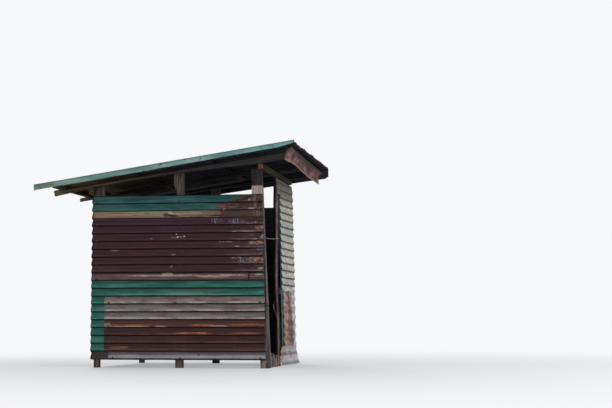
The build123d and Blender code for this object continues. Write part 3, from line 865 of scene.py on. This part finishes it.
def front_low_finish():
    """Old sheet on the front wall: pink rust, dark blotches, a white bloom on the far side and painted shade
    in the troughs of its wide ribs.
    """
    finish = Finish("front_old_sheet", "front_low_sheet")
    clouds = finish.cloudy("#b9bac0", "#eff0f6", 0.35, 0.7, (8, 8, 6), 6, 0.65)
    rusty = finish.mottled(("#7d5146", "#a07263", "#b8958a", "#c9b4ac"), (14, 14, 7))
    finish.lay(finish.beyond(1, 0.66, -0.12, 0.22, 9.0), rusty)
    finish.mark([(0.54, 0.34, 0.17, 0.2), (0.47, 0.6, 0.12, 0.18)], 0.8, 9.0, 0.6, "#7f5447")
    blots = [
        (0.53, 0.534, 0.13, 0.035), (0.53, 0.42, 0.25, 0.034), (0.57, 0.315, 0.22, 0.04),
        (0.6, 0.235, 0.17, 0.034), (0.44, 0.62, 0.1, 0.03), (0.42, 0.7, 0.07, 0.045),
    ]
    dark = finish.fade(clouds, 0.4, 0.6, "#341814", "#64382c")
    finish.mark(blots, 1.9, 13.0, 0.9, dark)
    finish.mark([(0.25, 0.24, 0.04, 0.16), (0.2, 0.45, 0.02, 0.2)], 0.8, 14.0, 0.7, "#c08a66")
    # Painted shade in the troughs of the wide ribs
    turn = (finish.axes[2] - finish.low) * (2 * math.pi / wide_pitch)
    finish.lay_in(finish.math("COSINE", turn), 0.2, 1.0, "#3a2f30", 0.45)
    finish.dirty(0.2, 0.0)
    return finish.close(0.6, finish.rust(9.0, 0.5)["Crust"], 0.4)


def front_strip_finish():
    """The skirt at the foot of the front wall: white bloom with a pink near edge and painted shade along two
    folds.
    """
    finish = Finish("front_strip_sheet")
    clouds = finish.cloudy("#aba7ab", "#d6d5db", 0.36, 0.66, (6, 6, 8), 5, 0.6)
    finish.lay(finish.beyond(1, 0.06, -0.1, 0.12) * 0.85, "#b98f7b")
    # Painted shade along the two folds
    for fold, strength in ((0.118, 0.75), (0.022, 0.65)):
        finish.lay_in(abs(finish.axes[2] - fold), 0.03, 0.004, "#4c4647", strength)
    finish.dirty(0.12, 0.04)
    return finish.close(0.55, clouds, 0.2)


def jamb_finish():
    """Chalky green paint with rust at the cut edges."""
    finish = painted("jamb_paint", None, "#1d4b48", "#36706a", (3, 20, 20))
    crust = finish.rusted(11.0, 0.4)
    finish.dirty(0.2, 0.0, (60, 60, 10))
    return finish.close(0.6, crust, 0.4)


def verge_finish(name, paint, chalk, grime, outward=None):
    """A verge's paint: dull at the low end, bluer towards the front, with painted shade along both rims."""
    finish = painted(name, None, paint, chalk, (3, 20, 20))
    x = finish.axes[0]
    bluer = finish.fade(x, -0.6, 0.2, (1.0, 1.0, 1.0, 1.0), (0.86, 0.98, 1.04, 1.0))
    bluer = finish.fade(x, 0.6, 1.15, bluer, (1.25, 1.4, 1.62, 1.0))
    finish.base = finish.vector_math("MULTIPLY", finish.base, bluer)
    crust = finish.rusted(11.0, 0.4)
    finish.dirty(grime, 0.0, (60, 60, 10))
    # Painted shade along the top rim and the lower rim
    under = finish.below_roof("verge_trim_near") + finish.noise(finish.place, 9.0, 4.0, 0.6) * 0.012
    finish.lay_in(under, 0.024, 0.016, "#454c42", 0.5)
    finish.lay_in(under, 0.056, 0.062, "#35332b", 0.7)
    front = finish.beyond(0, 1.13, 0.08, 0.06) * finish.spread(under, 0.035, 0.055)
    finish.lay(front * 0.7, "#7b645c")
    if outward:
        finish.lay(finish.beyond(0, 1.1, 0.2, 0.1) * 0.9, "#17120f")
        # Painted shade on the faces that look into the hut
        finish.dark_inside(*outward)
    return finish.close(0.6, crust, 0.4)


def fascia_finish():
    """Red-brown rust with pink and pale places, yellowish along the rims, a band of painted shadow from the
    roof's edge along its top, and dark at its near end.
    """
    low, high = fascia_corners
    finish = Finish("fascia_rust")
    y, z = finish.axes[1:]
    finish.base = finish.mottled(("#2b1719", "#573436", "#7b5150", "#997d79"), (7, 5, 12))
    orange = finish.streaks((9, 5, 9), 6, 0.7, (4, 2, 8))
    finish.lay_in(orange, 0.58, 0.72, "#8a664f", 0.6)
    fine = finish.streaks((30, 12, 60), 5, 0.65, (1, 7, 3))
    finish.lay_in(fine, 0.58, 0.68, "#a0938d", 0.6)
    finish.lay_in(fine, 0.42, 0.32, "#33191b", 0.7)
    share = (y - low.y) / (high.y - low.y)
    waist = finish.spread(share, 0.0, 0.2) * finish.spread(share, 0.5, 0.3)
    over = z - (waist * 0.03 + fascia_foot - share * fascia_fall)
    rim = finish.spread(over, 0.026, 0.01) * finish.spread(orange, 0.4, 0.5)
    finish.lay(rim * 0.7, "#9d8d79")
    # Along its top, a pale line under a band of painted shadow from the roof's edge, wider beyond the near
    # end
    hidden = finish.spread(share, 0.1, 0.3, 0.004, 0.03) + finish.spread(orange, 0.35, 0.65) * 0.008
    top = high.z - z - hidden
    finish.lay_in(top, 0.01, 0.003, "#8d7c6a", 0.45)
    finish.lay_in(top, 0.002, -0.003, "#2b1c1f", 0.85)
    finish.lay(finish.beyond(1, low.y + 0.05, -0.05) * 0.8, "#3a2826")
    return finish.close(0.7, finish.rust(12.0, 0.6)["Crust"], 0.6)


def wire_finish():
    finish = Finish("galvanised_wire")
    spots = finish.cloudy("#d6d2d0", "#a8968c", 0.45, 0.6, (120, 120, 120), 4, 0.6)
    return finish.close(0.5, spots, 0.2)


def nail_finish():
    finish = Finish("rusty_nail")
    spots = finish.cloudy("#241d1c", "#443e3c", 0.4, 0.62, (90, 90, 90), 5, 0.65)
    return finish.close(0.6, spots, 0.4)


# Camera, lamps and floor
camera_place = (3.4446, -14.0085, 0.432)
camera_rise = math.radians(4.89)
camera_turn = math.radians(9.07)
camera_lens = 81.92
film_width = 36
far_end = 200
backdrop = (0.93, 0.94, 0.95, 1)


def set_camera():
    """Low in front of the long wall, a little to the doorway's side."""
    bpy.ops.object.camera_add(location=camera_place)
    camera = bpy.context.object
    camera.rotation_euler = (math.radians(90) + camera_rise, 0, camera_turn)
    camera.data.sensor_width = film_width
    camera.data.lens = camera_lens
    camera.data.clip_end = far_end
    bpy.context.scene.camera = camera


def add_lamp(name, place, size, power, colour):
    aim = Vector((0, 0, 1.0))
    bpy.ops.object.light_add(type="AREA", location=place)
    lamp = bpy.context.object
    lamp.name = name
    lamp.rotation_euler = (aim - Vector(place)).to_track_quat("-Z", "Y").to_euler()
    for key, value in {"shape": "DISK", "size": size, "energy": power, "color": colour}.items():
        setattr(lamp.data, key, value)


def seen_directly(web):
    """1 for what the camera sees, straight or in a reflection."""
    path = web.outputs("ShaderNodeLightPath")
    seen = web.most(path["Is Camera Ray"], path["Is Glossy Ray"])
    return web.most(seen, path["Is Transmission Ray"])


def set_world():
    """Light like an overcast sky, strongest from above, in front of a pale backdrop."""
    world = bpy.data.worlds.new("pale_room")
    bpy.context.scene.world = world
    world.use_nodes = True
    world.node_tree.nodes.clear()
    web = Web(world.node_tree)
    height = web.axes_of(web.outputs("ShaderNodeTexCoord")["Generated"])[2]
    strength = web.spread(height, -0.5, 0.6, 0.42, 0.55)
    dim = web.value("ShaderNodeBackground", {"Color": (0.93, 0.97, 1.0, 1), "Strength": strength})
    pale = web.value("ShaderNodeBackground", {"Color": backdrop, "Strength": 1.0})
    mixed = web.value("ShaderNodeMixShader", {0: seen_directly(web), 1: dim, 2: pale})
    web.node("ShaderNodeOutputWorld", {"Surface": mixed})


def set_floor():
    """A pale floor that fades into the backdrop with distance and keeps the hut's shadow."""
    bpy.ops.mesh.primitive_plane_add(size=120)
    floor = bpy.context.object
    floor.name = "floor"
    finish = Finish("floor")
    seen = seen_directly(finish)
    finish.base = finish.blend(seen, (0.16, 0.16, 0.15, 1), (0.74, 0.74, 0.74, 1))
    finish.close(0.9)
    away = finish.spread(finish.length(finish.place), 1.0, 9.0, 0.35, 1.0) * seen
    near = Value(finish, finish.shader.outputs[0])
    pale = finish.value("ShaderNodeEmission", {"Color": backdrop, "Strength": 1.0})
    mixed = finish.value("ShaderNodeMixShader", {0: away, 1: near, 2: pale})
    finish.feed(finish.tree.nodes["Material Output"].inputs["Surface"], mixed)
    floor.data.materials.append(finish.material)


def set_stage():
    bpy.context.scene.view_settings.view_transform = "Standard"
    add_lamp("key_lamp", (-3.0, -11.5, 1.9), 6.0, 500, (1.0, 0.985, 0.96))
    add_lamp("side_lamp", (9.5, -4.0, 4.0), 4.0, 330, (0.98, 0.99, 1.0))
    add_lamp("back_lamp", (-4.0, 9.0, 6.0), 5.0, 420, (0.98, 0.99, 1.0))
    set_world()
    set_floor()


# Modelling helpers
def choose(piece, *others):
    bpy.ops.object.select_all(action="DESELECT")
    for each in (piece, *others):
        each.select_set(True)
    bpy.context.view_layer.objects.active = piece


def mode(name):
    bpy.ops.object.mode_set(mode=name)


def held(share):
    """A share kept from 0 to 1."""
    return min(1.0, max(0.0, share))


def noise_at(*place):
    return noise.noise(Vector(place))


def join(pieces):
    choose(*pieces)
    bpy.ops.object.join()
    return bpy.context.object


def add_modifier(piece, kind, **settings):
    """Adds a modifier and applies it at once."""
    choose(piece)
    modifier = piece.modifiers.new(kind.lower(), kind)
    for key, value in settings.items():
        setattr(modifier, key, value)
    bpy.ops.object.modifier_apply(modifier=modifier.name)


def round_edges(piece, width, angle):
    limit = {"limit_method": "ANGLE", "angle_limit": math.radians(angle)}
    add_modifier(piece, "BEVEL", width=width, segments=2, **limit)


def dress(piece, name, material, slot, *nodes):
    """Names a finished piece, gives it its finish and puts it in the place of its nodes."""
    piece.name = name
    piece.data.name = name
    piece.data.materials.clear()
    piece.data.materials.append(material)
    choose(piece)
    bpy.ops.object.shade_smooth_by_angle(angle=math.radians(40))
    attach(piece, "root")
    if nodes:
        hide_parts(*nodes)
    return piece


def copy_of(node):
    """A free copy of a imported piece, its loose triangles merged into whole faces."""
    source = frame["nodes"][node]
    piece = source.copy()
    piece.data = source.data.copy()
    piece.parent = None
    bpy.context.collection.objects.link(piece)
    piece.matrix_world = Matrix()
    for key in list(piece.keys()):
        del piece[key]
    choose(piece)
    mode("EDIT")
    bpy.ops.mesh.select_all(action="SELECT")
    bpy.ops.mesh.remove_doubles(threshold=0.00002)
    bpy.ops.mesh.customdata_custom_splitnormals_clear()
    bpy.ops.mesh.dissolve_limited(angle_limit=math.radians(0.5))
    mode("OBJECT")
    return piece


def reach_of(piece, axis):
    """From where to where a piece lies along an axis."""
    places = [point.co[axis] for point in piece.data.vertices]
    return min(places), max(places)


def cut_across(piece, axis, step):
    """Cuts a piece into even lengths along an axis, keeping it whole."""
    low, high = reach_of(piece, axis)
    count = max(1, round((high - low) / step))
    normal = (X, Y, Z)[axis]
    choose(piece)
    mode("EDIT")
    for number in range(1, count):
        place = normal * (low + (high - low) * number / count)
        bpy.ops.mesh.select_all(action="SELECT")
        bpy.ops.mesh.bisect(plane_co=place, plane_no=normal)
    mode("OBJECT")


def wear(piece, axis, amount):
    """Rubs a timber's faces unevenly: long along its grain, short across it."""
    squeeze = [34, 34, 34]
    squeeze[axis] = 4
    piece.data.update()
    moves = []
    for point in piece.data.vertices:
        place = noise_at(*[size * factor for size, factor in zip(point.co, squeeze)])
        moves.append(point.normal * place * amount)
    for point, move in zip(piece.data.vertices, moves):
        point.co += move
        point.co.z = max(0.0, point.co.z)


def fray(piece, axis, end):
    """Roughens the end of a timber: it breaks off a little short, never longer."""
    tip = reach_of(piece, axis)[end > 0]
    for point in piece.data.vertices:
        share = 1 - abs(point.co[axis] - tip) / fray_length
        if share > 0:
            point.co[axis] -= end * share * fray_depth * (0.5 + noise.noise(point.co * 45))


def weathered(node, material, axis, frayed=(), bevel=0.0022, amount=0.0016):
    """A packed timber with rounded, rubbed edges and rough ends."""
    piece = copy_of(node)
    cut_across(piece, axis, timber_step)
    round_edges(piece, bevel, 35)
    wear(piece, axis, amount)
    for end in frayed:
        fray(piece, axis, end)
    return dress(piece, node + "_worn", material, slot_of[node], node)


# Sheets
def wall_of(node):
    """How a sheet lies: its corner, the ways along, up and out, its length and height."""
    low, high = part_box(node)
    thick = rib_depth + gauge
    side = node.split("_")[0]
    if side == "near":
        return Vector((low.x, high.y, low.z)), X, Z, -Y, high.x - low.x, high.z - low.z
    if side == "far":
        return low, X, Z, Y, high.x - low.x, high.z - low.z
    if side == "back":
        return Vector((high.x, low.y, low.z)), Y, Z, -X, high.y - low.y, high.z - low.z
    if side == "front":
        out = Vector((math.cos(front_lean), 0, math.sin(front_lean)))
        up = Vector((-math.sin(front_lean), 0, math.cos(front_lean)))
        seat = high.x - thick * out.x - rib_pitch / 2 * up.x
        return Vector((seat, low.y, low.z)), Y, up, out, high.y - low.y, high.z - low.z
    out = Vector((-math.sin(roof_pitch), 0, math.cos(roof_pitch)))
    along = Vector((-math.cos(roof_pitch), 0, -math.sin(roof_pitch)))
    length = (high.x - low.x - thick * math.sin(roof_pitch)) / math.cos(roof_pitch)
    return Vector((high.x, low.y, high.z - thick * out.z)), along, Y, out, length, high.y - low.y


def wave(v):
    """How far a sheet's middle stands out at a height, on tangent arcs from trough to crest."""
    part = (v / rib_pitch + 0.25) % 1.0
    if part < 0.5:
        across = (part - 0.25) * rib_pitch
        return wave_radius - math.sqrt(wave_radius ** 2 - across ** 2)
    across = (part - 0.75) * rib_pitch
    return rib_depth - wave_radius + math.sqrt(wave_radius ** 2 - across ** 2)


def leaned(turn):
    """Where a leaning rib has reached a turn of its wave, both counted in ribs."""
    whole = math.floor(turn)
    part = turn - whole
    if part < 0.5:
        return whole + 2 * part * lean_share
    return whole + lean_share + (2 * part - 1) * (1 - lean_share)


start_turn = start_row / steps_per_rib
start_leaned = leaned(start_turn)


def dent(place, depth):
    """Shallow dents, outwards only, alike for sheets that lap."""
    broad = noise.noise(place * 2.3) + 0.5 * noise.noise(place * 6.1)
    return depth * held(0.5 + 0.5 * broad)


def front_sag(place):
    """How far a rib of the front wall hangs below its even place."""
    low, high = front_corners
    across = held((high.y - place.y) / (high.y - low.y))
    rise = held((place.z - low.z) / (high.z - low.z))
    return sag_even + sag_corner * across * rise


def ribbed_sheet(
    node, material, depth=dent_depth, ragged=0.003, foot=0.0, flat=0.0,
    pitch=rib_pitch, shape=None, sag=None, holes=(),
):
    """A corrugated sheet in its node's place, dented, with uneven ends and real thickness.

    A sheet of another pitch has even ribs, and its top is pressed flat behind the sheet above."""
    corner, along, up, out, length, height = wall_of(node)
    leaning = shape is None and pitch == rib_pitch
    ribs = round(height / pitch)
    stations = max(2, round(length / station_length))
    bpy.ops.mesh.primitive_grid_add(x_subdivisions=stations, y_subdivisions=ribs * steps_per_rib, size=2)
    sheet = bpy.context.object
    for point in sheet.data.vertices:
        u = (point.co.x + 1) / 2 * length
        turn = (point.co.y + 1) / 2 * ribs
        v = turn * pitch
        if leaning:
            turn += start_turn
            v = (leaned(turn) - start_leaned) * rib_pitch
        tucked = 0.0 if pitch == rib_pitch else held((v - height) / tuck_height + tuck_start)
        lift = gauge / 2 + wave(turn * rib_pitch) * (1 - flat) * (1 - tucked)
        lift += dent(corner + along * u + up * v, depth)
        if shape:
            u, v, lift = shape(u, v, lift)
        end = max(0.0, 1 - min(u, length - u) / end_length)
        place = corner + along * u + up * v
        bite = ragged * end * (0.5 + 0.5 * noise.noise(place * 38))
        u += bite if u < length / 2 else -bite
        v += foot * max(0.0, 1 - v / edge_height) * (0.5 + 0.5 * noise.noise(place * 21))
        point.co = corner + along * u + up * v + out * lift
        if sag:
            point.co.z -= sag(point.co) * max(0.0, min(1.0, v / rib_pitch, (height - v) / rib_pitch))
    if holes:
        choose(sheet)
        rust_through(sheet, holes)
    add_modifier(sheet, "SOLIDIFY", thickness=gauge, offset=0)
    return dress(sheet, node + "_dented", material, slot_of[node], node)


def rust_through(sheet, holes):
    """Takes out the few faces round each (x, z, radius)."""
    mode("EDIT")
    bpy.ops.mesh.select_mode(type="FACE")
    bpy.ops.mesh.select_all(action="DESELECT")
    mode("OBJECT")
    for polygon in sheet.data.polygons:
        middle = polygon.center
        polygon.select = any(math.hypot(middle.x - x, middle.z - z) < radius for x, z, radius in holes)
    mode("EDIT")
    bpy.ops.mesh.delete(type="FACE")
    bpy.ops.mesh.select_mode(type="VERT")
    mode("OBJECT")


def roof_end(u, v, lift):
    """The roof's front edge droops a little between its nails."""
    free = max(0.0, 1 - u / droop_length)
    drop = 0.5 + noise_at(0.3, v * 4.3, 1.9) + 0.4 * noise_at(2.3, v * 13, 0.9)
    return u, v, lift - max(0.0, droop * free * free * drop)


roof_sheets = ["roof_sheet_" + number for number in "1234"]


def make_sheets():
    far_way = (1, 1)
    back_way = (0, -1)
    front = {"flat": pressed, "sag": front_sag, "material": cream_finish()}
    maroon = maroon_finish("far_maroon", "far_sheet_high", far_way)
    far_old = old_sheet_finish("far_old_sheet", "far_sheet_low", 0.55, far_way)
    back_maroon = maroon_finish("back_maroon", "far_sheet_high", back_way)
    back_old = old_sheet_finish("back_old_sheet", "back_sheet_low", 0.5, back_way)
    hole = (0.694, 0.36, 0.013)
    ribbed_sheet("near_top_sheet", top_sheet_finish())
    ribbed_sheet("near_maroon_sheet", maroon_finish("maroon_paint", "near_maroon_sheet"), foot=0.003)
    ribbed_sheet("near_green_sheet", green_wall_finish())
    ribbed_sheet("near_old_sheet", old_wall_finish(), foot=0.003, ragged=0.008)
    ribbed_sheet("near_foot_strip", strip_finish(), foot=0.004)
    ribbed_sheet("far_sheet_high", maroon)
    ribbed_sheet("far_sheet_low", far_old, foot=0.004, holes=[hole])
    ribbed_sheet("back_sheet_high", back_maroon, flat=pressed)
    ribbed_sheet("back_sheet_low", back_old, foot=0.004, flat=pressed)
    ribbed_sheet("front_cream_sheet", ragged=0.008, foot=0.004, **front)
    ribbed_sheet("front_top_sheet", ragged=0.012, **front)
    ribbed_sheet("front_low_sheet", front_low_finish(), ragged=0.006, flat=pressed, pitch=wide_pitch)
    for node, amount in zip(roof_sheets, (0.52, 0.6, 0.46, 0.56)):
        finish = roof_finish(node.replace("sheet", "zinc"), node, amount)
        ribbed_sheet(node, finish, depth=0.0008, ragged=0.01, shape=roof_end)


# Trims and strips. How deep the verge's leg is, how far it sways in and how its edge waves.
# The far one's front end is curled over a short length
verge_depth = 0.06
verge_sway = 0.004
verge_ripple = 0.003
curl = 0.02
curl_length = 0.04

# The fascia's lip leans this far at the near end. Its waist: where and how long it is, as shares of the
# strip, over what height it fades out, and how far it goes in and up
lip_lean = 0.03
waist_place = 0.28
waist_length = 0.16
waist_height = 0.09
waist_in = 0.014
waist_up = 0.034

# The flattened strip at the front wall's foot: how far back it lies at its near foot, its far foot and
# its top, how deep its folds are and how much narrower its top is
skirt_near = 0.046
skirt_far = 0.018
skirt_top = 0.007
skirt_fold = 0.003
skirt_narrow = 0.06


def bent_strip(node, material, axis, move, step=0.04, cross=None):
    """A packed trim cut into short lengths and pushed about as thin metal is."""
    piece = copy_of(node)
    cut_across(piece, axis, step)
    if cross:
        cut_across(piece, 2, cross)
    for point in piece.data.vertices:
        point.co += Vector(move(point.co))
    return dress(piece, node + "_bent", material, slot_of[node], node)


def roof_line(x):
    """Height of the roof's top line at x."""
    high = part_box("verge_trim_near")[1]
    return high.z - (high.x - x) * math.tan(roof_pitch)


def verge_wave(place):
    """Lets the verge's leg wander in and its lower edge wave; the flange stays."""
    depth = held((roof_line(place.x) - place.z) / verge_depth)
    side = -1 if place.y > 0 else 1
    sway = 0.5 + 0.5 * noise_at(place.x * 3.1, side, 0.5)
    lift = verge_ripple * noise_at(place.x * 5.3, side * 3, 2.5) * depth
    if side < 0:
        end = max(0.0, 1 - (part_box("verge_trim_far")[1].x - place.x) / curl_length)
        lift += curl * end * end * (1 if depth > 0.5 else -1)
    return 0, side * verge_sway * sway * depth, lift


def fascia_twist(place):
    """Leans the near end's lip forward, narrows the strip before its middle and dents it all."""
    low, high = fascia_corners
    share = (place.y - low.y) / (high.y - low.y)
    rise = (place.z - low.z) / (high.z - low.z)
    lean = lip_lean * rise * (1 - share) ** 2
    foot = fascia_foot - fascia_fall * share
    hang = 1 - held((place.z - foot) / waist_height)
    waist = math.exp(-(((share - waist_place) / waist_length) ** 2))
    broad = noise_at(0.7, place.y * 3.3, place.z * 9)
    fine = noise_at(2.7, place.y * 11, place.z * 19)
    edge = noise_at(5.1, place.y * 4.1, 0.2)
    forward = lean - waist_in * waist * hang + 0.007 * broad + 0.003 * fine
    return forward, 0, waist_up * waist * hang + 0.006 * edge * hang


def strip_wave(place):
    broad = noise_at(0.2, place.y * 5, place.z * 4)
    return 0.002 * abs(broad), 0.004 * noise_at(place.z * 4, 0.4, 0.1), 0


def skirt_crumple(place):
    """The flattened end of the low sheet: two soft ribs, narrow at its top, spread out at its far foot."""
    low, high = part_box("front_foot_strip")
    across = (place.y - low.y) / (high.y - low.y)
    drop = (high.z - place.z) / (high.z - low.z)
    flare = skirt_near * drop * (1 - across) ** 1.5 + skirt_far * across * drop ** 1.5
    fold = skirt_fold * math.cos(2 * math.pi * (place.z - high.z) / wide_pitch)
    crease = 0.004 * drop * noise_at(1.1, place.y * 5, place.z * 5)
    inward = skirt_narrow * across * (1 - drop) ** 0.7
    lift = 0.003 * drop * (1 + noise_at(0.4, place.y * 9, 3.3))
    return -flare - skirt_top * (1 - drop) + fold + crease, -inward, lift


def make_trims():
    light = verge_finish("verge_paint", "#5d8881", "#9aaea8", 0.2)
    dull = verge_finish("verge_end_paint", "#5c786c", "#8f978b", 0.3)
    dark = verge_finish("verge_far_paint", "#3f6b63", "#6c8f86", 0.4, (1, 1))
    bent_strip("verge_trim_near", light, 0, verge_wave)
    bent_strip("verge_end_piece", dull, 0, verge_wave)
    bent_strip("verge_trim_far", dark, 0, verge_wave)
    bent_strip("fascia_front", fascia_finish(), 1, fascia_twist, 0.03, 0.02)
    bent_strip("front_jamb_strip", jamb_finish(), 2, strip_wave)
    bent_strip("front_foot_strip", front_strip_finish(), 1, skirt_crumple, 0.03, 0.02)


# Timbers
def tuck_stub(pole):
    """Draws the stub of the pole's branch up and in towards the pole."""
    for point in pole.data.vertices:
        if point.co.x < stub_edge and stub_foot < point.co.z < stub_top:
            stands_out = stub_edge - point.co.x
            point.co.x += stub_in * stands_out
            point.co.z += stub_up * stands_out


def make_timbers():
    """Each with the axis that its grain runs along and the ends that are frayed."""
    for nodes, kind, axis, *frayed in (
        ("post_near_front", "front_post", 2),
        ("post_near_middle post_near_back post_far_front post_far_middle post_far_back", "post", 2),
        ("post_block", "block", 2),
        ("stud_near_back", "post", 2),
        ("rafter_near", "near_beam", 0, -1),
        ("rafter_middle rafter_far", "beam", 0, -1),
        ("header_front header_back", "header", 1, -1, 1),
        ("purlins eave_purlin", "purlin", 1),
        ("near_rail_top", "tan", 0),
        ("near_rails_low far_rails", "rail", 0),
        ("back_rails front_rails", "back_rail", 1),
    ):
        for node in nodes.split():
            weathered(node, wood[kind], axis, frayed)
    tuck_stub(weathered("door_pole", wood["pole"], 2, bevel=0.001, amount=0.003))


def make_sill():
    """Split boards on end across the doorway, each rotted to a different height."""
    low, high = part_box("door_sill")
    heights = (0.96, 0.86, 1.0, 0.9, 0.78, 0.95, 0.84, 0.7, 0.88, 0.62, 0.76, 0.58, 0.7)
    thinner = 0.003
    split = 0.002
    sound = 0.6
    rot = 0.05
    width = (high.y - low.y) / len(heights)
    boards = []
    for number, share in enumerate(heights):
        top = share * high.z
        middle = Vector(((low.x + high.x) / 2, low.y + (number + 0.5) * width, share * high.z / 2))
        bpy.ops.mesh.primitive_cube_add(size=1, location=middle)
        board = bpy.context.object
        board.scale = (high.x - low.x - thinner, width - split, top)
        bpy.ops.object.transform_apply(location=True, rotation=True, scale=True)
        mode("EDIT")
        bpy.ops.mesh.subdivide(number_cuts=5)
        mode("OBJECT")
        for point in board.data.vertices:
            rise = max(0.0, (point.co.z - sound * top) / (0.4 * top))
            bite = 0.5 + 0.7 * noise_at(point.co.x * 60, point.co.y * 70, number)
            point.co.z -= rot * rise * rise * max(0.0, bite)
            point.co.y += split * noise_at(number, point.co.z * 16, point.co.x * 40)
        boards.append(board)
    sill = join(boards)
    round_edges(sill, 0.002, 40)
    dress(sill, "door_sill_boards", wood["sill"], slot_of["door_sill"], "door_sill")


def make_wire():
    """The wire across the doorway, which sags a little between the post and the pole."""
    low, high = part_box("door_wire")
    start = Vector((high.x, low.y, low.z + wire_radius))
    stop = Vector((low.x, high.y, high.z - wire_radius))
    steps = 12
    curve = bpy.data.curves.new("wire", "CURVE")
    curve.dimensions = "3D"
    curve.bevel_depth = wire_radius
    curve.bevel_resolution = 2
    line = curve.splines.new("POLY")
    line.points.add(steps)
    for step, point in enumerate(line.points):
        place = start.lerp(stop, step / steps)
        place.z -= wire_sag * math.sin(math.pi * step / steps)
        point.co = (*place, 1)
    piece = bpy.data.objects.new("door_wire_line", curve)
    bpy.context.collection.objects.link(piece)
    choose(piece)
    bpy.ops.object.convert(target="MESH")
    dress(bpy.context.object, "door_wire_line", wire_finish(), "wire", "door_wire")


# Nails. Each dome rises in steps: how high, and the share of its width that is left
washer_radius = 0.011
washer_depth = 0.0014
washer_rim = 0.0045
dome_steps = ((0.0018, 0.94), (0.0014, 0.7), (0.0007, 0.45))
nail_sink = 0.0006


def make_nail():
    """A roofing nail: a thin washer under a low domed head."""
    seat = (0, 0, washer_depth / 2)
    bpy.ops.mesh.primitive_cylinder_add(vertices=12, radius=washer_radius, depth=washer_depth, location=seat)
    nail = bpy.context.object
    mode("EDIT")
    bpy.ops.mesh.select_all(action="DESELECT")
    bpy.ops.mesh.select_mode(type="FACE")
    mode("OBJECT")
    top = max(nail.data.polygons, key=lambda face: face.center.z)
    top.select = True
    mode("EDIT")
    bpy.ops.mesh.inset(thickness=washer_rim)
    for rise, shrink in dome_steps:
        bpy.ops.mesh.extrude_region_move(TRANSFORM_OT_translate={"value": (0, 0, rise)})
        bpy.ops.transform.resize(value=(shrink, shrink, 1))
    mode("OBJECT")
    bpy.ops.object.transform_apply(location=True, rotation=True, scale=True)
    return nail


def on_sheet(wall, u, rib, flat=0.0, pitch=rib_pitch, sag=None):
    """The place of a nail on a crest: a distance along the sheet and the rib's number."""
    corner, along, up, out = wall[:4]
    turn = rib + lean_share - start_leaned if pitch == rib_pitch else rib + 0.5
    flush = corner + along * u + up * turn * pitch
    lift = rib_depth * (1 - flat) + gauge - nail_sink + dent(flush, dent_depth)
    fall = sag(flush) * min(1.0, turn) if sag else 0.0
    return flush + out * lift - Z * fall


def on_roof(wall, u, rib):
    """The same on the roof, whose ribs are even and hardly dented."""
    corner, along, up, out = wall[:4]
    return corner + along * u + up * ((rib + 0.5) * rib_pitch) + out * (rib_depth + gauge - nail_sink)


def make_nails():
    """Rows of nails, each sheet's as one piece. A distance below 0 counts from the sheet's end."""
    pattern = make_nail()
    rust = nail_finish()
    far_lines = (0.04, 0.45, 0.87, 1.3, -0.04)
    back_lines = (0.05, 0.45, 0.85, 1.25, -0.05)
    front_lines = (0.06, 0.36, -0.12)
    roof_lines = (0.12, 0.88, 1.63, 2.38)
    for node, ribs, lines, *form in (
        ("near_top_sheet", (0, 1), (0.04, 0.87, -0.05)),
        ("near_maroon_sheet", (0, 2, 5, 7), (0.04, 0.87, -0.05)),
        ("near_old_sheet", (0, 3, 6), (0.05, 0.72, -0.05)),
        ("near_foot_strip", (0,), (0.05, 0.72, -0.05)),
        ("far_sheet_low", (0, 4, 10), far_lines),
        ("far_sheet_high", (4, 9), far_lines),
        ("back_sheet_low", (0, 4, 10), back_lines, pressed),
        ("back_sheet_high", (4, 9), back_lines, pressed),
        ("front_cream_sheet", (0, 4, 9, 12), front_lines, pressed, rib_pitch, front_sag),
        ("front_low_sheet", (2, 5), front_lines, pressed, wide_pitch),
        *[(node, (1, 4, 7), roof_lines) for node in roof_sheets[:-1]],
        (roof_sheets[-1], (1, 4, 6), roof_lines),
    ):
        wall = wall_of(node)
        place = on_roof if node in roof_sheets else on_sheet
        turn = wall[3].to_track_quat("Z", "Y").to_matrix().to_4x4()
        copies = []
        for rib in ribs:
            for u in lines:
                copy = pattern.copy()
                copy.data = pattern.data.copy()
                bpy.context.collection.objects.link(copy)
                spot = place(wall, u if u > 0 else wall[4] + u, rib, *form)
                copy.data.transform(Matrix.Translation(spot) @ turn)
                copies.append(copy)
        dress(join(copies), "nails_" + node, rust, slot_of[node])
    bpy.data.objects.remove(pattern)


set_camera()
set_stage()
make_timbers()
make_sheets()
make_trims()
make_sill()
make_wire()
make_nails()
